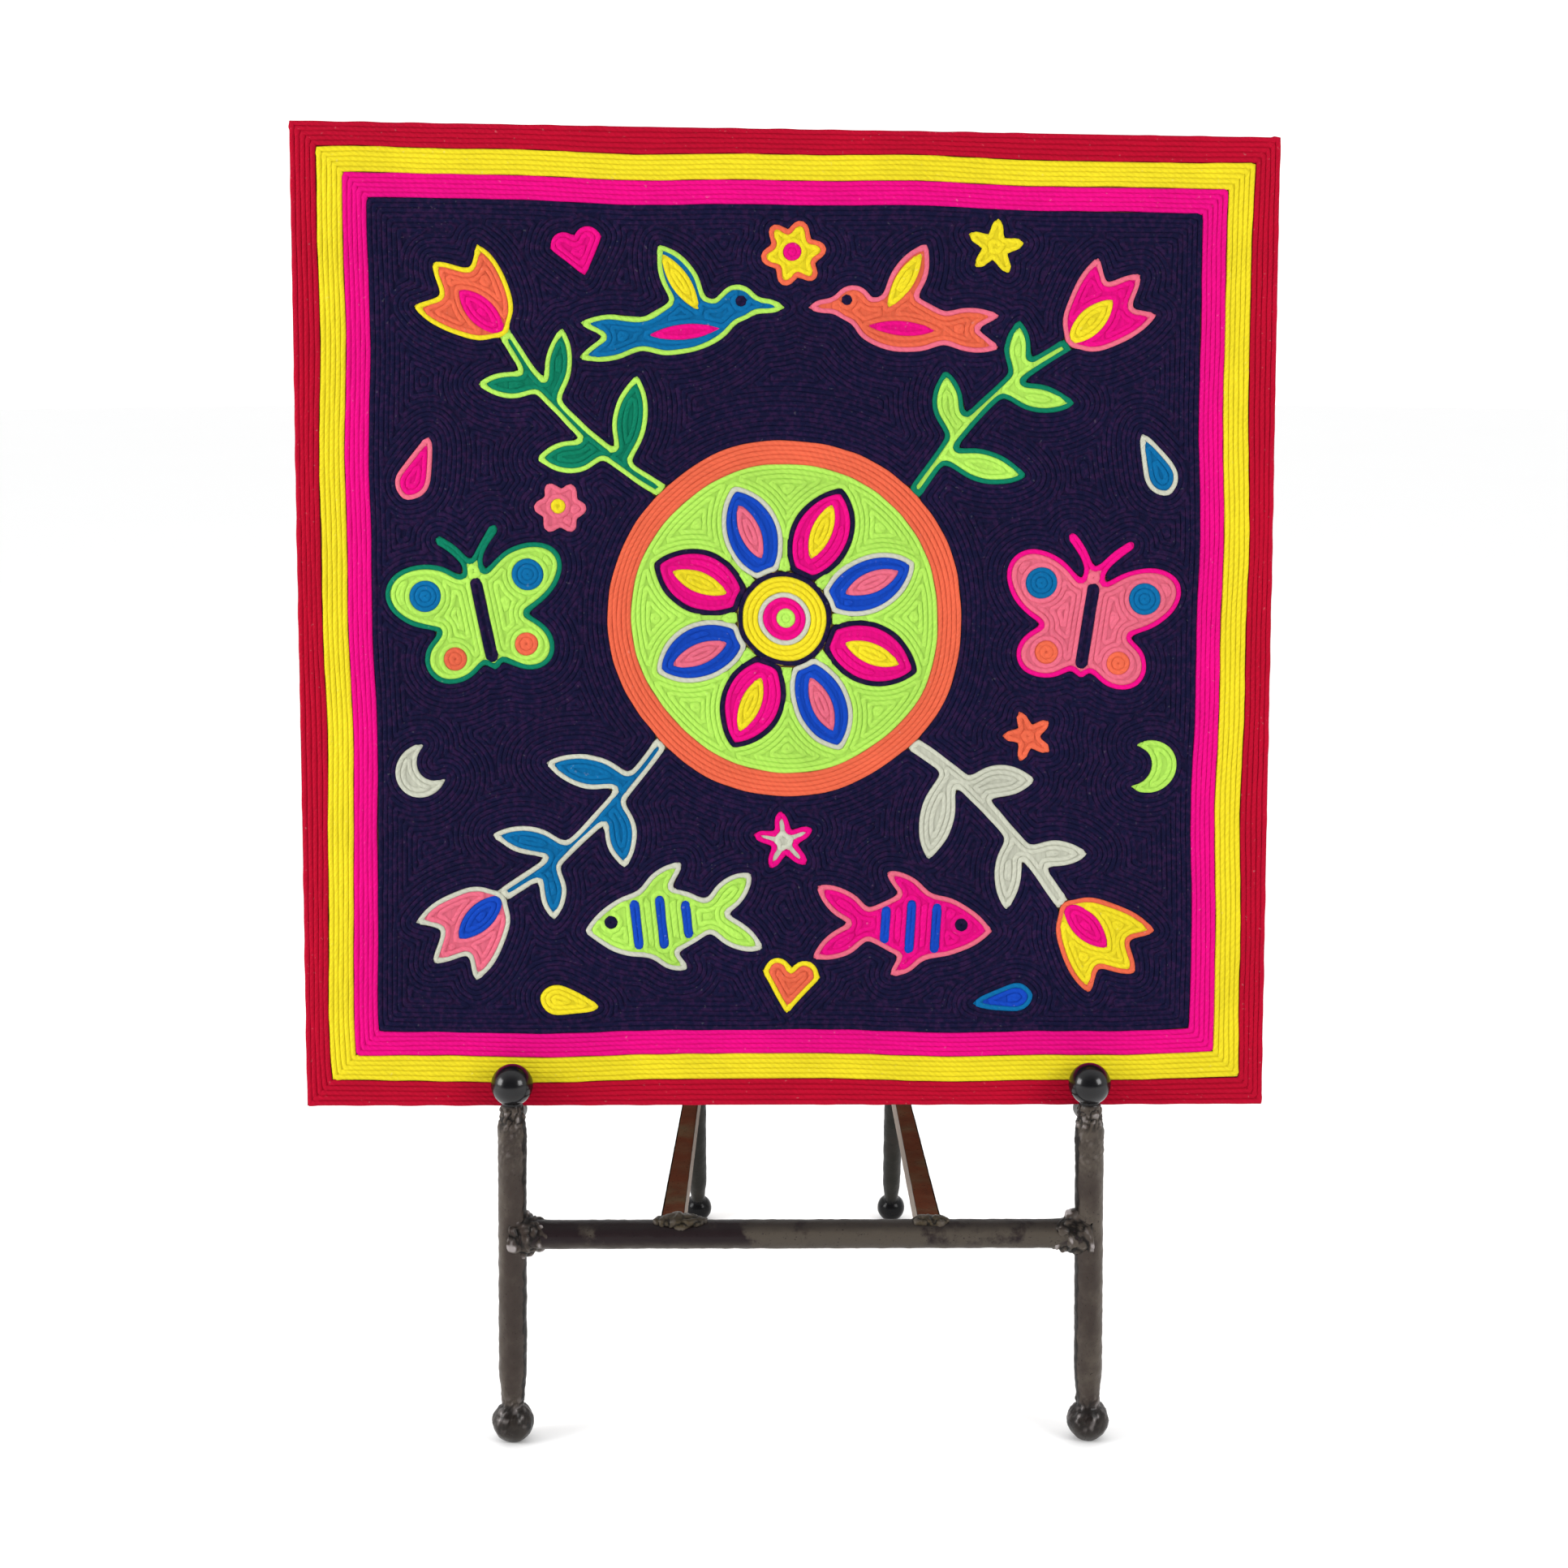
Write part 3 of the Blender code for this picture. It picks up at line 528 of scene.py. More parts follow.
def rows_in_ring(node, colours):
    """Rows laid round and round, evenly between a ring's outer and inner edge."""
    outer, inner = front_outlines(node)[:2]
    outer, counts = by_sides(rounded(outer))
    inner, _ = by_sides(rounded(inner), counts)
    shares = [(k + 0.5) / len(colours) for k in range(len(colours))]
    return [Row(colour, outer + share * (inner - outer)) for colour, share in zip(colours, shares)]


def waver_at(loop, seed, amount):
    """Small sideways drift of a hand-laid row, smooth along it and its own for each seed."""
    u, w = loop.T
    return amount * (np.sin(u / 2.9 + w / 4.1 + seed) + np.sin(w / 1.9 - u / 2.3 + 2.3 * seed)) / 1.4


class YarnMesh:
    """Gathers rows of yarn and the waxed bed under them into one mesh."""

    def __init__(self, sizes):
        self.sizes = sizes
        self.width = sizes.row_width / MM
        self.rise = sizes.row_rise / MM
        self.points, self.faces, self.uvs, self.tones = [], [], [], []
        self.count = 0

    def add(self, points, faces, uvs, tone):
        self.points.append(points)
        self.faces.append(faces + self.count)
        self.uvs.append(uvs)
        self.tones.append(np.full(len(points), tone) if np.isscalar(tone) else tone)
        self.count += len(points)

    def add_row(self, loop, front, seed):
        loop = evened(loop, self.sizes.row_step / MM)
        count, wide = len(loop), len(ACROSS)
        ahead = np.roll(loop, -1, 0) - np.roll(loop, 1, 0)
        ahead /= np.maximum(np.hypot(*ahead.T), 1e-9)[:, None]
        side = np.stack([-ahead[:, 1], ahead[:, 0]], 1)
        middle = loop + side * waver_at(loop, seed, self.sizes.waver / MM)[:, None]
        bend = np.abs((ahead * np.roll(ahead, 1, 0)).sum(1))
        width = self.width * (1.1 + waver_at(loop, seed + 1.7, 0.04)) / np.maximum(bend, 0.7)
        rise = self.rise * (1 + waver_at(loop, seed + 3.1, 0.12))
        flat = middle[:, None] + side[:, None] * ((ACROSS - 0.5) * width[:, None])[..., None]
        bed = front + CROWN_OVER_CAD - self.rise
        height = bed + rise[:, None] * CROWN - SEAM_DROP * (CROWN == 0)
        points = np.concatenate([flat, height[..., None]], 2).reshape(-1, 3)
        ring, across = np.meshgrid(np.arange(count), np.arange(wide - 1), indexing="ij")
        after = (ring + 1) % count
        faces = np.stack([ring * wide + across, after * wide + across,
                          after * wide + across + 1, ring * wide + across + 1], 2).reshape(-1, 4)
        run = length_of(loop) / count
        along = np.stack([ring, ring + 1, ring + 1, ring], 2).reshape(-1) * run
        sideways = ACROSS[np.stack([across, across, across + 1, across + 1], 2).reshape(-1)]
        tone = 0.5 + 0.5 * math.sin(seed * 7.31)
        uvs = np.stack([along, sideways], 1).reshape(-1, 4, 2)[:, ::-1].reshape(-1, 2)
        self.add(points, faces[:, ::-1], uvs, tone)

    def add_patch(self, patch, front):
        """Flat yarn-coloured wax inside closed outlines, a hair over the bed for each layer."""
        loops = [[Vector((u, w, 0)) for u, w in evened(loop, 1.0)] for loop in patch.loops if len(loop) > 5]
        faces = np.array(tessellate_polygon(loops) or np.zeros((0, 3)), int)
        flat = np.array([point[:2] for loop in loops for point in loop]).reshape(-1, 2)
        a, b, c = (flat[faces[:, k]] for k in range(3))
        turns = (b - a)[:, 0] * (c - a)[:, 1] - (b - a)[:, 1] * (c - a)[:, 0]
        faces[turns < 0] = faces[turns < 0][:, ::-1]
        height = front + CROWN_OVER_CAD - self.rise - BED_UNDER_CROWN + LAYER_STEP * patch.layer
        points = np.hstack([flat, np.full((len(flat), 1), height)])
        # Painted shade: across is 0, so the yarn's seam shade darkens the whole patch, and its low tone
        # darkens it a little more.
        uvs = np.stack([flat[faces.ravel(), 0], np.zeros(faces.size)], 1)
        self.add(points, np.hstack([faces, np.full((len(faces), 1), -1 - self.count)]), uvs, 0.3)

    def add_bed(self, node):
        """The CAD plate with its front lowered to the seams between the rows."""
        points = plate_points(node)
        front = points[:, 2].max()
        points[points[:, 2] > front - FRONT_SLACK, 2] = front + CROWN_OVER_CAD - self.rise - BED_UNDER_CROWN
        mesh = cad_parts[node].data
        corners = np.empty(len(mesh.loops), int)
        mesh.loops.foreach_get("vertex_index", corners)
        faces = corners.reshape(-1, 3)
        faces = np.hstack([faces, np.full((len(faces), 1), -1 - self.count)])
        # Painted shade: across is 0, so the yarn's seam shade darkens the whole bed, and its low tone darkens
        # it a little more.
        self.add(points, faces, np.stack([points[corners, 0], np.zeros(len(corners))], 1), 0.2)

    def build(self, name, material):
        points = np.vstack(self.points) * MM
        points = points @ np.array(PLANE)[:3, :3].T + np.array(PLANE)[:3, 3]
        faces = np.vstack(self.faces)
        sides = np.where(faces[:, 3] < 0, 3, 4)
        mesh = bpy.data.meshes.new(name)
        mesh.vertices.add(len(points))
        mesh.vertices.foreach_set("co", points.ravel())
        mesh.loops.add(int(sides.sum()))
        mesh.loops.foreach_set("vertex_index", faces[faces >= 0])
        mesh.polygons.add(len(faces))
        mesh.polygons.foreach_set("loop_start", np.cumsum(sides) - sides)
        mesh.polygons.foreach_set("use_smooth", sides == 4)
        mesh.uv_layers.new(name="yarn").data.foreach_set("uv", np.vstack(self.uvs).ravel())
        tones = mesh.attributes.new("row_tone", "FLOAT", "POINT")
        tones.data.foreach_set("value", np.concatenate(self.tones))
        mesh.update(calc_edges=True)
        mesh.validate()
        mesh.materials.append(material)
        return in_scene(name, mesh)


def in_scene(name, data):
    made = bpy.data.objects.new(name, data)
    bpy.context.scene.collection.objects.link(made)
    return made


def skinned(name, points, faces, material):
    """A new object with one material over its faces."""
    mesh = bpy.data.meshes.new(name)
    mesh.from_pydata(points, [], faces)
    mesh.materials.append(material)
    mesh.update()
    return in_scene(name, mesh)


def fitted(piece, slot, *nodes):
    """The piece, riding on the part's body in the place of the CAD nodes that it stands for."""
    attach(piece, "root")
    if nodes:
        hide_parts(*nodes)
    return piece


def lay_yarn(name, colour, rows, beds=(), patches=(), stands_for=()):
    """One piece of one colour of yarn: its rows, the patches in their seams, and the beds under them."""
    gathered = YarnMesh(bpy.context.scene.yarn_sizes)
    front = plate_points("band_red")[:, 2].max()
    for node in beds:
        gathered.add_bed(node)
    for patch in patches:
        gathered.add_patch(patch, front)
    for index, row in enumerate(rows):
        gathered.add_row(row.loop, front, 0.37 + 1.618 * index)
    return fitted(gathered.build(name, yarn_material(colour)), f"yarn_{colour}", *stands_for)


def lay_group(prefix, nodes):
    """The areas of one part of the picture, gathered into a piece for each colour of yarn."""
    width = bpy.context.scene.yarn_sizes.row_width / MM
    rows, patches, beds, stands_for = {}, {}, {}, {}
    for node in nodes:
        if node in RINGS:
            laid, under, edge, main = rows_in_ring(node, RINGS[node]), [], None, RINGS[node][-1]
        else:
            laid, under = rows_in_area(node, width)
            edge, main = AREAS[node].edge, AREAS[node].fill
        beds.setdefault(edge or main, []).append(node)
        stands_for.setdefault(main, []).append(node)
        for row in laid:
            rows.setdefault(row.colour, []).append(row)
        for patch in under:
            patches.setdefault(patch.colour, []).append(patch)
    for colour in sorted(set(rows) | set(beds)):
        parts = (group.get(colour, ()) for group in (rows, beds, patches, stands_for))
        lay_yarn(f"{prefix}_{colour}_yarn", colour, *parts)


# Finishes


class Nodes:
    """A tree of shader nodes being made: they are added one by one and joined as they are named."""

    def __init__(self, owner, surface):
        owner.use_nodes = True
        self.tree = owner.node_tree
        self.surface = self.tree.nodes[surface]

    def add(self, kind, inputs=None, **settings):
        made = self.tree.nodes.new(kind)
        for key, value in settings.items():
            setattr(made, key, value)
        for key, value in (inputs or {}).items():
            self.feed(made.inputs[key], value)
        return made

    def feed(self, socket, value):
        if isinstance(value, bpy.types.NodeSocket):
            self.tree.links.new(value, socket)
        else:
            socket.default_value = (*value, 1.0) if socket.type == "RGBA" else value

    def set(self, **values):
        for key, value in values.items():
            self.feed(self.surface.inputs[key.replace("_", " ")], value)

    def math(self, operation, first, second=0.0, third=0.0):
        return self.add("ShaderNodeMath", {0: first, 1: second, 2: third}, operation=operation).outputs[0]

    def times(self, first, second):
        return self.math("MULTIPLY", first, second)

    def scaled(self, value, factor, offset):
        return self.math("MULTIPLY_ADD", value, factor, offset)

    def split(self, vector):
        return self.add("ShaderNodeSeparateXYZ", {0: vector}).outputs

    def between(self, value, low, high, first=0.0, last=1.0):
        """The first value up to low and the last from high on, smooth between them."""
        inputs = {"Value": value, "From Min": low, "From Max": high, "To Min": first, "To Max": last}
        return self.add("ShaderNodeMapRange", inputs, interpolation_type="SMOOTHSTEP").outputs["Result"]


class Finish(Nodes):
    """A new material."""

    def __init__(self, name):
        self.material = bpy.data.materials.new(name)
        super().__init__(self.material, "Principled BSDF")

    def place(self):
        return self.add("ShaderNodeTexCoord").outputs["Object"]

    def facing(self):
        return self.split(self.add("ShaderNodeNewGeometry").outputs["Normal"])

    def marked(self, name):
        return self.add("ShaderNodeAttribute", attribute_name=name).outputs["Fac"]

    def speckle(self, place, scale, detail=2.0, roughness=0.5):
        inputs = {"Vector": place, "Scale": scale, "Detail": detail, "Roughness": roughness}
        return self.add("ShaderNodeTexNoise", inputs).outputs["Fac"]

    def mix(self, share, first, second, blend="MIX"):
        inputs = {0: share, 6: first, 7: second}
        return self.add("ShaderNodeMix", inputs, data_type="RGBA", blend_type=blend).outputs[2]

    def bump(self, height, depth, strength=1.0):
        inputs = {"Height": height, "Distance": depth, "Strength": strength}
        self.set(Normal=self.add("ShaderNodeBump", inputs).outputs["Normal"])


def toned(colour, share):
    """The colour made darker, or lighter where the share is over 1."""
    return [min(1.0, c * share) for c in colour]


def yarn_material(colour):
    """Twisted acrylic yarn: plies that wind round the row, loose fibres, and painted shade in the ply grooves
    and in the seams.
    """
    name = f"yarn_{colour}_laid"
    if name in bpy.data.materials:
        return bpy.data.materials[name]
    colours, sizes = bpy.context.scene.yarn_colours, bpy.context.scene.yarn_sizes
    dye = getattr(colours, colour)
    look = Finish(name)
    along, across, _ = look.split(look.add("ShaderNodeUVMap", uv_map="yarn").outputs[0])
    tone, place = look.marked("row_tone"), look.place()

    turns = look.math("ADD", look.times(along, MM / sizes.twist), across)
    plies = look.math("SINE", look.times(turns, math.tau))
    seam = look.math("POWER", look.math("ABSOLUTE", look.scaled(across, 2.0, -1.0)), 3.0)
    slant = look.math("ADD", along, look.times(across, 2.0))
    strand = look.add("ShaderNodeCombineXYZ", {0: slant, 1: look.times(turns, 4.0), 2: tone})
    fibres = look.speckle(strand.outputs[0], 1.6, 4.0, 0.65)
    drift = look.speckle(place, 55.0, 3.0)

    # Painted shade: the plies are darker where their bump is low, in the grooves between them.
    shade = look.scaled(plies, 0.04, look.scaled(tone, 0.08, 0.96))
    shade = look.scaled(look.math("SUBTRACT", fibres, 0.5), 0.4, shade)
    shade = look.scaled(look.math("SUBTRACT", drift, 0.5), 0.3, shade)
    # Painted shade in the seams: each row is darker towards its two edges, and the beds and patches, laid
    # with across at 0, are darker all over.
    shade = look.times(shade, look.scaled(seam, -0.09, 1.0))
    base, linty = dye, 0.2
    if colour == "navy":
        flecks = look.between(look.speckle(place, 620.0, 3.0, 0.6), 0.42, 0.68)
        base, linty = look.mix(flecks, dye, colours.plum), 0.1
    base = look.mix(1.0, base, shade, "MULTIPLY")
    lint = look.between(look.speckle(place, 900.0, 1.0), 0.71, 0.82)
    base = look.mix(look.times(lint, linty), base, [0.3 + 0.5 * c for c in dye])

    look.bump(look.scaled(plies, 0.5, look.times(fibres, 1.2)), 0.00012, 0.7)
    look.set(Base_Color=base, Roughness=look.scaled(fibres, 0.2, 0.75))
    look.set(Specular_IOR_Level=0.1, Sheen_Weight=0.08, Sheen_Roughness=0.5, Sheen_Tint=dye)
    return look.material


def wax_material():
    look = Finish("beeswax")
    wax = bpy.context.scene.yarn_colours.wax
    smears = look.speckle(look.place(), 120.0, 4.0, 0.6)
    base = look.mix(look.between(smears, 0.35, 0.7), wax, toned(wax, 0.55))
    look.bump(smears, 0.0003, 0.6)
    look.set(Base_Color=base, Roughness=look.scaled(smears, 0.3, 0.3))
    look.set(Subsurface_Weight=0.1, Specular_IOR_Level=0.5)
    return look.material


def board_material():
    """Pressed board: short matted fibres all over, and the press's woven screen on its back."""
    look = Finish("pressed_board")
    place = look.place()
    board = bpy.context.scene.yarn_colours.board
    clouds = look.speckle(place, 30.0, 5.0, 0.6)
    fibres = look.speckle(place, 700.0, 5.0, 0.75)
    base = look.mix(look.between(clouds, 0.3, 0.7), board, toned(board, 0.72))
    base = look.mix(look.between(fibres, 0.52, 0.66), base, toned(board, 1.9))
    x, _, z = look.split(place)
    across, up = (look.math("SINE", look.times(way, math.tau / SCREEN_PITCH)) for way in (x, z))
    screen = look.times(look.times(across, up), look.between(look.facing()[1], 0.7, 0.9))
    look.bump(look.scaled(screen, 0.4, fibres), 0.00035, 0.8)
    look.set(Base_Color=base, Roughness=look.scaled(fibres, 0.25, 0.65), Specular_IOR_Level=0.3)
    return look.material


def iron_material(name, first, second, patches=(0.52, 0.68), top=None, grain=230.0, gloss=0.2):
    """Lacquered iron, by the marks written on the piece: worn patches, polish, pale bare crowns that are
    partly painted highlight, and painted shade in the creases.

    Light and shade are painted in by which way the lacquer faces: tops and the sides that face the easel's
    middle are darker, as painted dark reflections, and the undersides and outer sides paler, as painted
    reflections of the pale floor and the room.
    """
    if name in bpy.data.materials:
        return bpy.data.materials[name]
    look = Finish(name)
    place = look.place()
    polish, worn_mark, bright, crease_shade = (look.marked(word) for word in ("polish", "worn", "bright", "crease_shade"))
    sideways, _, upwards = look.facing()
    side = look.math("SIGN", look.split(place)[0])
    inwards = look.times(look.times(side, sideways), -1.0)
    marks = look.speckle(place, grain, 4.0, 0.55)
    pits = look.speckle(place, 1300.0, 3.0, 0.6)
    clouds = look.speckle(place, 85.0, 6.0, 0.64)

    worn = look.between(look.scaled(worn_mark, 0.2, clouds), *patches)
    base = look.mix(worn, first, second)
    # Painted reflection of the pale floor: the undersides are mixed towards the paler second colour.
    floor_reflection = look.times(look.between(upwards, -0.05, -0.75), look.scaled(clouds, 0.5, 0.35))
    base = look.mix(floor_reflection, base, second)
    # Painted reflection of the room: the sides that face away from the easel's middle are mixed towards the
    # paler second colour.
    outer = look.times(look.between(inwards, -0.2, -0.8), look.scaled(clouds, 0.7, 0.1))
    base = look.mix(outer, base, second)
    # Painted dark reflection: a near-black line on the sides that face the easel's middle.
    run = look.between(look.scaled(marks, 0.35, inwards), 0.92, 1.05)
    base = look.mix(run, base, toned(first, 0.15))
    # Painted dark reflection: faces that look up are made darker.
    base = look.mix(look.times(look.between(upwards, 0.3, 0.9), 0.75), base, toned(first, 0.35))
    if top:
        stain = look.scaled(look.between(look.speckle(place, 110.0, 5.0, 0.6), 0.25, 0.6), 0.3, 0.7)
        browner = look.between(look.speckle(place, 90.0, 4.0), 0.35, 0.85)
        rusty = look.mix(browner, top, iron().scale)
        base = look.mix(look.times(look.between(upwards, 0.4, 0.9), stain), base, rusty)
        # Painted dark reflection: the rails' outer top edge is made near black.
        rim = look.times(look.between(inwards, -0.25, -0.5), look.between(upwards, 0.05, 0.3))
        base = look.mix(rim, base, toned(first, 0.1))
        # Partly wear and partly painted light: the inner sides are made paler in patches.
        rubbed_and_lit = look.times(look.between(inwards, 0.8, 0.95), look.between(clouds, 0.2, 0.42))
        base = look.mix(rubbed_and_lit, base, iron().bare_and_lit)
    base = look.mix(look.between(pits, 0.6, 0.75), base, toned(first, 0.4))
    base = look.mix(polish, base, iron().polished)
    # Painted shade in the creases between the weld drops.
    base = look.mix(crease_shade, base, toned(first, 0.12))
    # Partly bare metal and partly painted highlight: pale, half-metallic crowns on the weld drops.
    crowns = look.times(bright, look.between(look.speckle(place, 260.0, 1.0), 0.42, 0.55))
    base = look.mix(crowns, base, iron().bright)

    look.bump(look.scaled(marks, 1.5, look.times(pits, 0.35)), 0.0003, look.scaled(polish, -0.55, 0.6))
    rough = look.scaled(marks, 0.25, look.scaled(worn, 0.12, 0.26))
    rough = look.times(rough, look.scaled(polish, -0.5, 1.0))
    look.set(Base_Color=base, Roughness=rough, Metallic=look.times(crowns, 0.6))
    look.set(Coat_Weight=0.3 * gloss, Coat_Roughness=0.15, Specular_IOR_Level=gloss)
    return look.material


def iron():
    """The iron's settings."""
    return bpy.context.scene.iron_settings


# Iron bars

LUMP_FADE = 0.002  # nearer than this to a bar's line, its lumps fade out


def sphere_ends(node, low_radius, high_radius):
    """The middles of a round bar's two end balls, from its box: the lower end's and the upper end's."""
    low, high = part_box(node)
    outwards = low.x + high.x > 2 * frame_middle().x
    low_x = high.x - low_radius if outwards else low.x + low_radius
    high_x = low.x + high_radius if outwards else high.x - high_radius
    return low_x, high_x, low, high


def frame_middle():
    """The middle of the easel, between its posts."""
    left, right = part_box("post_left"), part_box("post_right")
    return (left[0] + right[1]) / 2


def lumps_at(point, size, depth):
    """Hammer marks: an even swell and hollow about a millimetre or more across."""
    return depth * (noise.noise(point / size) + 0.5 * noise.noise(point / size * 2.3 + Vector((7, 3, 1))))


def beads_at(point, size):
    """Drops of weld that have set side by side: round crowns up to about 1, and creases down to -0.4."""
    here = abs(noise.noise(point / size)) + 0.35 * abs(noise.noise(point / size * 2.1 + Vector((3, 8, 5))))
    return 2.2 * here - 0.4


def lofted(name, rings, material, depth=0.0, size=0.004):
    """A closed skin over rings of points that have the same count. The depth of its lumps may go by place."""
    count = len(rings[0])
    points = []
    for ring in rings:
        middle = sum(ring, Vector()) / count
        for point in ring:
            out = point - middle
            reach = out.length or 1.0
            deep = depth(point) if callable(depth) else depth
            points.append(point + out / reach * lumps_at(point, size, deep) * min(1, reach / LUMP_FADE))
    last = (len(rings) - 1) * count
    faces = []
    for start in range(0, last, count):
        for i in range(count):
            j = (i + 1) % count
            faces.append((start + i, start + j, start + count + j, start + count + i))
    faces += [tuple(range(count))[::-1], tuple(range(last, last + count))]
    piece = skinned(name, points, faces, material)
    piece.data.polygons.foreach_set("use_smooth", np.ones(len(faces), bool))
    return piece


def mark(piece, name, amount):
    """Writes how strongly a finish's mark, such as its polish, is present at each point of the piece."""
    if callable(amount):
        amount = [amount(vertex.co) for vertex in piece.data.vertices]
    piece.data.attributes.new(name, "FLOAT", "POINT").data.foreach_set("value", amount)


def eased(value, low, high):
    """0 up to low and 1 from high on, smooth between them."""
    share = min(1.0, max(0.0, (value - low) / (high - low)))
    return share * share * (3 - 2 * share)


def ring_rows(start, end, profile, sides=40):
    """Rings round the line from start to end at each (distance, radius) of a profile."""
    along = (end - start).normalized()
    turn = along.to_track_quat("Z", "Y")
    rings = []
    for distance, radius in profile:
        rings.append([
            start + along * distance + turn @ Vector((math.cos(a), math.sin(a), 0)) * radius
            for a in (math.tau * i / sides for i in range(sides))
        ])
    return rings


def ball_profile(middle, radius, neck, down, steps=16):
    """(distance, radius) points over a ball, from its pole to where it has come in to its neck."""
    stop = math.pi - math.asin(min(1.0, neck / radius))
    sign = 1 if down else -1
    points = []
    for i in range(steps + 1):
        turn = 0.06 + (stop - 0.06) * i / steps
        points.append((middle - sign * radius * math.cos(turn), radius * math.sin(turn)))
    return points


def smooth_profile(points, step, rounds=6):
    """A profile with more points between its stations, eased through them."""
    at = np.array([p[0] for p in points])
    radius = np.array([p[1] for p in points])
    fine = np.linspace(at[0], at[-1], max(2, int(abs(at[-1] - at[0]) / step)))
    raw = np.interp(fine, at, radius)
    for _ in range(rounds):
        raw[1:-1] = raw[1:-1] / 2 + (raw[:-2] + raw[2:]) / 4
    return list(zip(fine, raw))


def keep_over_floor(piece):
    """A foot's ball is flat where it stands."""
    for vertex in piece.data.vertices:
        vertex.co.z = max(vertex.co.z, 0.0)


def lacquered():
    return iron_material("brown_lacquer", toned(iron().lacquer, 1.4), iron().worn, (0.38, 0.86), gloss=0.13)


def shaded():
    """A darker copy of the lacquer for the legs and ledges at the rear: painted shade, where they stand
    behind the board.
    """
    dark = [c * share for c, share in zip(iron().lacquer, (0.3, 0.45, 0.4))]
    return iron_material("shaded_leg_lacquer", dark, toned(iron().worn, 0.2), gloss=0.1)


POST_RADIUS = 0.0044
POST_BALL = 0.0065
POST_NECK = 0.0033
NECK = 0.0085
LEG_RADIUS = 0.0034
LEG_BALL = 0.00525
LEG_NECK = 0.0026
FOOT_RISE = 0.0060
LEG_FOOT_RISE = 0.00477
CROSSBAR_RADIUS = 0.0045
CROSSBAR_PATCH = (-0.015, 0.078)  # from and to where its lacquer is worn thin
PEG_RADIUS = 0.003
RAIL_RINGS = 121
NECK_IN_BALL = 0.0006  # how far a neck reaches into its ball
POST_DROPS, COLLAR_DROPS, HEAP_DROPS = (0.0018, 0.00055), (0.0034, 0.00095), (0.0026, 0.0006)  # size, height
COLLARS = {"left": (0.0026, 0.0026, 0.0072), "right": (0.0046, 0.0024, 0.0078)}  # rise, fall and reach
HEAPS = {"left": (0.0165, 0.0024), "right": (0.011, 0.0018)}  # length and thickness


def bar_line(node):
    """The lowest and the highest x of a bar that lies across, and its line's y and z."""
    low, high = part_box(node)
    return low.x, high.x, (low.y + high.y) / 2, (low.z + high.z) / 2


def dome(radius, first, count, at=0.0, towards=1):
    """(distance, radius) points over a bar's round end."""
    turns = np.linspace(first, 1.5, count)
    return [(at + towards * radius * math.sin(a), radius * math.cos(a)) for a in turns]


def post_ends(word):
    low_x, high_x, low, high = sphere_ends(f"post_{word}", POST_BALL, POST_BALL)
    y = (low.y + high.y) / 2
    return Vector((low_x, y, FOOT_RISE)), Vector((high_x, y, high.z - POST_BALL))


def leg_ends(word):
    low_x, high_x, low, high = sphere_ends(f"rear_leg_{word}", LEG_BALL, LEG_RADIUS)
    foot = Vector((low_x, high.y - LEG_BALL, LEG_FOOT_RISE))
    return foot, Vector((high_x, low.y + LEG_RADIUS, high.z - LEG_RADIUS))


def run_drops(piece, share_at, size, height):
    """Pushes set drops out of a piece's skin by share_at, and gives each point's drop and share."""
    drops, pushed = [], []
    for vertex in piece.data.vertices:
        share = share_at(vertex.co)
        drop = beads_at(Vector((vertex.co.x, vertex.co.y, vertex.co.z * 0.75)), size) if share else 0.0
        pushed.extend(vertex.co + vertex.normal * (drop * height * share))
        drops.append((drop, share))
    piece.data.vertices.foreach_set("co", pushed)
    piece.data.update()
    return drops


def mark_drops(piece, drops, gleam):
    """Pale bare crowns on the drops, partly painted highlight, and painted shade in the creases between them.
    """
    mark(piece, "bright", [gleam * share * eased(drop, 0.4, 0.8) for drop, share in drops])
    mark(piece, "crease_shade", [share * eased(drop, 0.22, -0.1) for drop, share in drops])


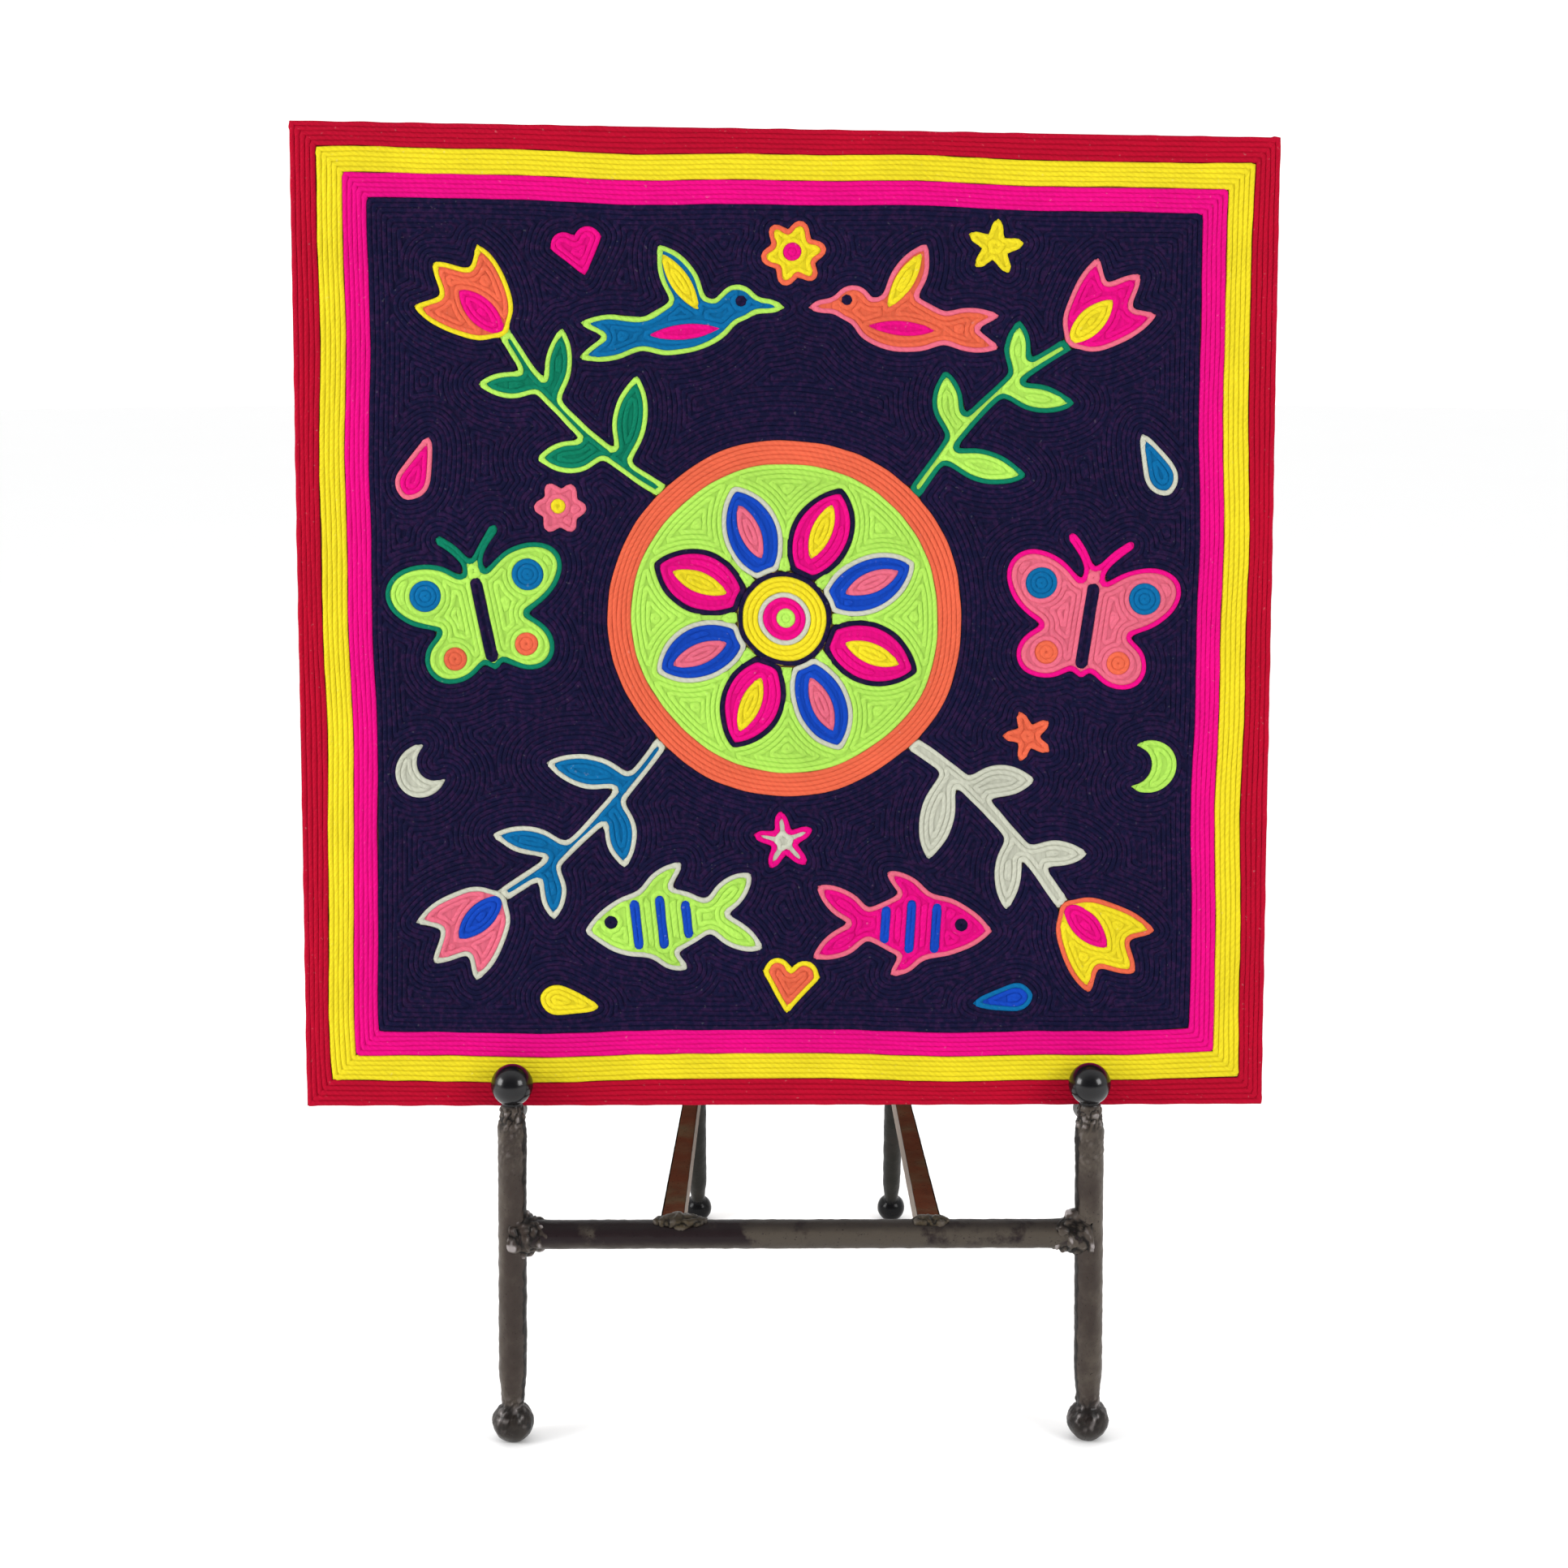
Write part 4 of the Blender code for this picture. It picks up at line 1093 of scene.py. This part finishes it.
def forge_post(word):
    """A round bar with a ball at each end. Weld has run down from under the top ball and set in lumps."""
    foot, top = post_ends(word)
    length = (top - foot).length
    low_neck, high_neck = POST_BALL - NECK_IN_BALL, length - POST_BALL + NECK_IN_BALL
    shaft = smooth_profile([
        (low_neck, POST_NECK * 1.05),
        (low_neck + 0.002, POST_NECK * 1.08),
        (low_neck + NECK + 0.003, POST_RADIUS),
        (high_neck - NECK, POST_RADIUS),
        (high_neck - 0.002, POST_NECK),
        (high_neck, POST_NECK * 0.97),
    ], 0.0005)
    lower = ball_profile(0, POST_BALL, POST_NECK * 1.05, True)
    upper = ball_profile(length, POST_BALL, POST_NECK * 0.97, False)
    profile = lower + shaft + upper[::-1]

    def dripped(point):
        away, from_foot = (point - top).length, (point - foot).length
        thinning = 0.25 * eased(away, 0.034, 0.02) + 0.75 * eased(away, 0.0165, 0.011)
        under_top = eased(away, 0.0066, 0.008) * thinning
        return max(under_top, 0.6 * eased(from_foot, 0.011, 0.0075) * eased(point.z, 0.0035, 0.007))

    def depth(point):
        by_foot = eased((point - foot).length, 0.02, 0.008)
        return iron().lumps * (1 + 0.8 * by_foot) * eased((point - top).length, 0.006, 0.0075)

    piece = lofted(f"post_{word}_forged", ring_rows(foot, top, profile, 64), lacquered(), depth, 0.0032)
    drops = run_drops(piece, dripped, *POST_DROPS)
    mark(piece, "polish", lambda point: max(
        eased((point - top).length, 0.0078, 0.0068), 0.6 * eased((point - foot).length, 0.0085, 0.0068)))
    mark(piece, "worn", lambda point: 0.2 * eased(point.z, 0.06, 0.075) - 0.1)
    mark_drops(piece, drops, 0.55)
    piece.data.materials.append(iron_material("ball_lacquer", iron().polished, iron().lacquer, gloss=0.3))
    for face in piece.data.polygons:
        face.material_index = int((face.center - top).length < 0.0069)
    keep_over_floor(piece)
    return fitted(piece, "iron", f"post_{word}")


def forge_leg(word):
    foot, top = leg_ends(word)
    length = (top - foot).length
    shaft = smooth_profile([
        (LEG_BALL - NECK_IN_BALL, LEG_NECK),
        (LEG_BALL + NECK * 0.25, LEG_NECK),
        (LEG_BALL + NECK, LEG_RADIUS),
        (length, LEG_RADIUS),
    ], 0.0014)
    profile = ball_profile(0, LEG_BALL, LEG_NECK, True) + shaft + dome(LEG_RADIUS, 0.1, 8, length)
    piece = lofted(f"rear_leg_{word}_forged", ring_rows(foot, top, profile, 36), shaded(), iron().lumps * 0.9)
    mark(piece, "polish", lambda point: 0.9 * eased((point - foot).length, 0.0075, 0.0058))
    mark(piece, "worn", lambda point: -0.15)
    keep_over_floor(piece)
    return fitted(piece, "iron", f"rear_leg_{word}")


def forge_crossbar():
    """The bar between the posts, with a lumpy fillet of weld where it runs out into each of them."""
    left, right, y, z = bar_line("crossbar")
    start, end = Vector((left, y, z)), Vector((right, y, z))
    length = (end - start).length
    flare = [(0.0, 0.0052), (0.002, 0.005), (0.0048, 0.0047), (0.0085, CROSSBAR_RADIUS)]
    stations = flare + [(0.02, CROSSBAR_RADIUS), (length / 2, CROSSBAR_RADIUS)]
    stations += [(length - d, r) for d, r in flare[::-1]]
    rings = ring_rows(start, end, smooth_profile(stations, 0.001, 4), 48)
    dark = [c * share for c, share in zip(iron().lacquer, (0.5, 0.4, 0.55))]
    finish = iron_material("crossbar_lacquer", dark, [c * 0.72 for c in iron().worn], gloss=0.13)
    piece = lofted("crossbar_forged", rings, finish, iron().lumps * 0.8, 0.003)
    lowest, highest = CROSSBAR_PATCH
    mark(piece, "worn", lambda point: eased(point.x + 0.5 * (point.z - z), lowest, lowest + 0.004)
         * eased(point.x, highest + 0.012, highest) * 1.4 - 0.4)
    return fitted(piece, "iron", "crossbar")


def rail_section(width, height, corner):
    """Points round a bar's rounded rectangle, with even steps on its sides."""
    half_w, half_h = width / 2 - corner, height / 2 - corner
    points = []
    for k, (side_x, side_z) in enumerate(((1, 1), (-1, 1), (-1, -1), (1, -1))):
        for i in range(6):
            a = math.pi / 2 * (k + i / 5)
            points.append((side_x * half_w + corner * math.cos(a), side_z * half_h + corner * math.sin(a)))
        next_x, next_z = ((-1, 1), (-1, -1), (1, -1), (1, 1))[k]
        start = points[-1]
        stop = (next_x * half_w + corner * math.cos(math.pi / 2 * (k + 1)),
                next_z * half_h + corner * math.sin(math.pi / 2 * (k + 1)))
        for i in range(1, 6):
            points.append((start[0] + (stop[0] - start[0]) * i / 6, start[1] + (stop[1] - start[1]) * i / 6))
    return points


def forge_rail(word):
    """A flat bar on its edge, narrower at the rear, with its top gone to rust."""
    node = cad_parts[f"rail_{word}"].data
    low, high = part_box(f"rail_{word}")
    near = [v.co.x for v in node.vertices if v.co.y < low.y + 0.006]
    far = [v.co.x for v in node.vertices if v.co.y > high.y - 0.006]
    rings = []
    for share in np.linspace(0, 1, RAIL_RINGS).tolist():
        y = high.y + (low.y - high.y) * share
        left, right = (min(far) + (min(near) - min(far)) * share, max(far) + (max(near) - max(far)) * share)
        rings.append([
            Vector(((left + right) / 2 - x, y, (low.z + high.z) / 2 + z))
            for x, z in rail_section(right - left, high.z - low.z, 0.0009)
        ][::-1])
    colours = iron()
    finish = iron_material("rusted_rail", colours.lacquer, colours.worn, (0.5, 0.66), colours.rust, gloss=0.0)
    piece = lofted(f"rail_{word}_forged", rings, finish, iron().lumps * 0.5, 0.006)
    return fitted(piece, "iron", f"rail_{word}")


def forge_back_bar():
    low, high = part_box("back_bar")
    radius = (high.z - low.z) / 2
    left, right, y, z = bar_line("back_bar")
    start, end = Vector((left + radius, y, z)), Vector((right - radius, y, z))
    length = (end - start).length
    middle = smooth_profile([(0, radius), (length, radius)], 0.0016)
    profile = dome(radius, 0.05, 8, towards=-1)[::-1] + middle + dome(radius, 0.05, 8, length)
    rings = ring_rows(start, end, profile, 32)
    return fitted(lofted("back_bar_forged", rings, lacquered(), iron().lumps), "iron", "back_bar")


def forge_ledge(word):
    """A short peg behind the post's neck, square to the board, that the board's bottom edge stands on."""
    low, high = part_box(f"ledge_{word}")
    front = (PLANE.to_3x3() @ Vector((0, 0, 1))).normalized()
    x = (low.x + high.x) / 2
    inner = Vector((x, high.y - PEG_RADIUS, low.z + PEG_RADIUS))
    length = (high.y - low.y - PEG_RADIUS) / -front.y
    profile = dome(PEG_RADIUS, 0.1, 7, towards=-1)[::-1]
    profile += [(d, PEG_RADIUS) for d in np.linspace(0, length - 0.0008, 10)]
    rings = ring_rows(inner, inner + front * length, profile, 28)
    piece = lofted(f"ledge_{word}_forged", rings, shaded(), iron().lumps * 0.6)
    return fitted(piece, "iron", f"ledge_{word}")


def weld_collar(word):
    """Weld that has set in drops round a crossbar's end, up and down the post and out along the bar."""
    _, _, y, z = bar_line("crossbar")
    rise, fall, reach = COLLARS[word]
    side = -1 if word == "left" else 1
    foot, top = post_ends(word)
    axis_x = foot.x + (top.x - foot.x) * (z - foot.z) / (top.z - foot.z)
    count, steps = 72, 30
    rings = []
    for step in range(steps + 1):
        share = step / steps
        hollow = (1 - share) ** 2.1
        ring = []
        for k in range(count):
            a = math.tau * k / count
            around = CROSSBAR_RADIUS + 0.0004 - 0.001 * share ** 6
            tall = around + (rise if math.sin(a) > 0 else fall) * hollow * abs(math.sin(a))
            deep = around + 0.0009 * hollow
            across = deep * math.cos(a)
            skin = axis_x - side * math.sqrt(max(0.0, POST_RADIUS ** 2 - across ** 2))
            inner = skin + side * 0.0006
            outer = axis_x - side * (POST_RADIUS + reach * (0.8 + 0.2 * math.sin(3 * a + side)))
            ring.append(Vector((inner + (outer - inner) * share, y + across, z + tall * math.sin(a))))
        rings.append(ring)
    piece = lofted(f"post_weld_{word}", rings[::-side], lacquered())
    mark_drops(piece, run_drops(piece, lambda point: 1.0, *COLLAR_DROPS), 1.0)
    return fitted(piece, "iron")


def weld_heap(word):
    """A low heap of scale-covered drops along the joint where a rail starts from the crossbar."""
    _, _, y, z = bar_line("crossbar")
    length, thickness = HEAPS[word]
    side = -1 if word == "left" else 1
    rail_low, rail_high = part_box(f"rail_{word}")
    outer = rail_low.x - 0.002 if side < 0 else rail_high.x + 0.002
    start = Vector((outer, y - 0.0004, z + 0.0043))
    rings = []
    steps, sides = 48, 40
    for step in range(steps + 1):
        share = step / steps
        swell = thickness * max(0.05, math.sin(math.pi * share)) ** 0.35
        rings.append([
            start + Vector((-side * length * share, 1.35 * swell * math.cos(a), 0.9 * swell * math.sin(a)))
            for a in (math.tau * k / sides for k in range(sides))
        ])
    scale = iron_material("weld_scale", toned(iron().scale, 0.7), toned(iron().worn, 0.5), (0.4, 0.6),
                          grain=400.0, gloss=0.12)
    piece = lofted(f"rail_weld_{word}", rings[::-side], scale)
    mark_drops(piece, run_drops(piece, lambda point: 1.0, *HEAP_DROPS), 0.1)
    return fitted(piece, "iron")


# Stage

FLOOR_RADIUS, FLOOR_SIDES = 6, 96
SOFTBOXES = (  # name, place, size and share of the power
    ("softbox_left", (-1.18, -0.5, 0.55), 0.58, 1.0),
    ("softbox_right", (0.95, -0.83, 0.6), 0.5, 0.65),
)
LIGHT_AIM = Vector((0, -0.05, 0.2))
CAMERA_PLACE = (-0.00544, -0.8601, 0.36605)
CAMERA_TURN = (90 - 11.425, 0, -0.351)  # level would be 90 degrees, so it looks down by the rest


# Operators


class YARN_OT_spread_wax(bpy.types.Operator):
    """Spread the thin bed of wax on the board, and give the board its pressed fibres"""

    bl_idname = "yarn_painting.spread_wax"
    bl_label = "Board and wax"

    def execute(self, context):
        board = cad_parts["board"]
        board.data.materials.clear()
        board.data.materials.append(board_material())
        front = plate_points("board")[:, 2].max()
        outline = front_outlines("board")[0] * (1 - WAX_INSET / BOARD_HALF)
        points = [PLANE @ (Vector((u, w, front + level)) * MM) for level in WAX_LEVELS for u, w in outline]
        count = len(outline)
        faces = [tuple(range(count))[::-1], tuple(range(count, 2 * count))]
        faces += [(i, (i + 1) % count, (i + 1) % count + count, i + count) for i in range(count)]
        fitted(skinned("wax_bed", points, faces, wax_material()), "board_wood")
        return {"FINISHED"}


class YARN_OT_lay_bands(bpy.types.Operator):
    """Lay the border bands, each in rows that run right round the picture"""

    bl_idname = "yarn_painting.lay_bands"
    bl_label = "Border bands"

    def execute(self, context):
        for node, colour in BANDS.items():
            rows = rows_in_ring(node, (colour,) * context.scene.yarn_sizes.band_rows)
            lay_yarn(f"{node}_yarn", colour, rows, [node], stands_for=[node])
        return {"FINISHED"}


class YARN_OT_lay_medallion(bpy.types.Operator):
    """Lay the round flower in the middle: heart, hub, petals, field and rim"""

    bl_idname = "yarn_painting.lay_medallion"
    bl_label = "Medallion"

    def execute(self, context):
        nodes = ["medallion_heart", "medallion_hub", "medallion_field", "medallion_rim"]
        lay_group("medallion", nodes + [f"petal_{i + 1}" for i in range(8)])
        return {"FINISHED"}


class YARN_OT_lay_motifs(bpy.types.Operator):
    """Lay the sprigs, tulips, butterflies, birds, fish and small fillers"""

    bl_idname = "yarn_painting.lay_motifs"
    bl_label = "Motifs"

    def execute(self, context):
        inner = ("ground", "medallion", "petal")
        lay_group("motif", [node for node in AREAS if not node.startswith(inner)])
        return {"FINISHED"}


class YARN_OT_lay_ground(bpy.types.Operator):
    """Lay the dark ground round the motifs, row after row out from their outlines"""

    bl_idname = "yarn_painting.lay_ground"
    bl_label = "Ground"

    def execute(self, context):
        rows, _ = rows_in_area("ground", context.scene.yarn_sizes.row_width / MM)
        total = sum(length_of(row.loop) for row in rows)
        first, laid = [], 0.0
        while laid < total / 2:
            laid += length_of(rows[0].loop)
            first.append(rows.pop(0))
        lay_yarn("ground_outer_yarn", "navy", first, ["ground"], stands_for=["ground"])
        lay_yarn("ground_inner_yarn", "navy", rows)
        return {"FINISHED"}


class YARN_OT_declare_cloth(bpy.types.Operator):
    """Does nothing; no piece is said to be the flat sheet, or to lie on it."""

    bl_idname = "yarn_painting.declare_cloth"
    bl_label = "Declare the sheet"

    def execute(self, context):
        return {"FINISHED"}


class YARN_OT_forge_posts(bpy.types.Operator):
    """Forge the two front posts and the two rear legs, each with its ball foot"""

    bl_idname = "yarn_painting.forge_posts"
    bl_label = "Posts and legs"

    def execute(self, context):
        for word in ("left", "right"):
            forge_post(word)
            forge_leg(word)
        return {"FINISHED"}


class YARN_OT_forge_bars(bpy.types.Operator):
    """Forge the crossbar, the two rails, the back bar and the two ledges"""

    bl_idname = "yarn_painting.forge_bars"
    bl_label = "Bars and ledges"

    def execute(self, context):
        forge_crossbar()
        forge_back_bar()
        for word in ("left", "right"):
            forge_rail(word)
            forge_ledge(word)
        return {"FINISHED"}


class YARN_OT_weld_joints(bpy.types.Operator):
    """Set drops of weld round the crossbar's ends and heap them where the rails start"""

    bl_idname = "yarn_painting.weld_joints"
    bl_label = "Welds"

    def execute(self, context):
        for weld in (weld_collar, weld_heap):
            weld("left")
            weld("right")
        return {"FINISHED"}


class YARN_OT_set_stage(bpy.types.Operator):
    """Set the floor, the soft studio light and the camera"""

    bl_idname = "yarn_painting.set_stage"
    bl_label = "Stage"

    def execute(self, context):
        settings = context.scene.stage_settings
        paint = Finish("pale_floor")
        soft = paint.speckle(paint.place(), 3.0, 2.0)
        pale = paint.mix(soft, settings.floor, toned(settings.floor, 0.985))
        paint.set(Base_Color=pale, Roughness=0.7, Specular_IOR_Level=0.2)
        turns = [math.tau * i / FLOOR_SIDES for i in range(FLOOR_SIDES)]
        around = [(FLOOR_RADIUS * math.cos(a), FLOOR_RADIUS * math.sin(a), 0) for a in turns]
        skinned("floor", around, [tuple(range(FLOOR_SIDES))], paint.material)

        context.scene.world = bpy.data.worlds.new("plain_studio")
        sky = Nodes(context.scene.world, "Background")
        towards = sky.split(sky.add("ShaderNodeTexCoord").outputs["Generated"])
        fade = sky.between(towards["Y"], -0.95, 0.0, settings.front, settings.sky)
        seen = sky.add("ShaderNodeLightPath").outputs["Is Camera Ray"]
        backdrop = sky.add("ShaderNodeMix", {0: seen, 2: fade, 3: settings.sky})
        sky.set(Color=(1, 1, 1), Strength=backdrop.outputs[0])
        context.scene.view_settings.view_transform = "Standard"

        for name, spot, size, share in SOFTBOXES:
            light = bpy.data.lights.new(name, "AREA")
            light.energy = settings.softboxes * share
            light.size = size
            lamp = in_scene(name, light)
            lamp.location = spot
            lamp.rotation_euler = (LIGHT_AIM - Vector(spot)).to_track_quat("-Z", "Y").to_euler()

        camera = in_scene("camera", bpy.data.cameras.new("camera"))
        camera.data.sensor_fit = "HORIZONTAL"
        camera.data.angle = settings.view_angle
        camera.location = CAMERA_PLACE
        camera.rotation_euler = [math.radians(turn) for turn in CAMERA_TURN]
        context.scene.camera = camera
        return {"FINISHED"}


STEPS = (
    YARN_OT_spread_wax,
    YARN_OT_lay_bands,
    YARN_OT_lay_medallion,
    YARN_OT_lay_motifs,
    YARN_OT_lay_ground,
    YARN_OT_declare_cloth,
    YARN_OT_forge_posts,
    YARN_OT_forge_bars,
    YARN_OT_weld_joints,
    YARN_OT_set_stage,
)
SETTINGS = {
    "yarn_colours": YarnColours,
    "yarn_sizes": YarnSizes,
    "iron_settings": IronSettings,
    "stage_settings": StageSettings,
}


class YARN_PT_sidebar(bpy.types.Panel):
    """The painting's settings and its steps, in the order they are run"""

    bl_label = "Yarn painting"
    bl_space_type = "VIEW_3D"
    bl_region_type = "UI"
    bl_category = "Yarn painting"

    def draw(self, context):
        for name, group in SETTINGS.items():
            box = self.layout.box()
            box.label(text=name.replace("_", " ").capitalize())
            for field in group.__annotations__:
                box.prop(getattr(context.scene, name), field)
        for step in STEPS:
            self.layout.operator(step.bl_idname)


CLASSES = (*SETTINGS.values(), *STEPS, YARN_PT_sidebar)


def register():
    for each in CLASSES:
        bpy.utils.register_class(each)
    for name, group in SETTINGS.items():
        setattr(bpy.types.Scene, name, PointerProperty(type=group))


def unregister():
    for name in SETTINGS:
        delattr(bpy.types.Scene, name)
    for each in reversed(CLASSES):
        bpy.utils.unregister_class(each)


def main():
    register()
    bpy.ops.yarn_painting.spread_wax()
    bpy.ops.yarn_painting.lay_bands()
    bpy.ops.yarn_painting.lay_medallion()
    bpy.ops.yarn_painting.lay_motifs()
    bpy.ops.yarn_painting.lay_ground()
    bpy.ops.yarn_painting.declare_cloth()
    bpy.ops.yarn_painting.forge_posts()
    bpy.ops.yarn_painting.forge_bars()
    bpy.ops.yarn_painting.weld_joints()
    bpy.ops.yarn_painting.set_stage()
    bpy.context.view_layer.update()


if __name__ == "__main__":
    main()
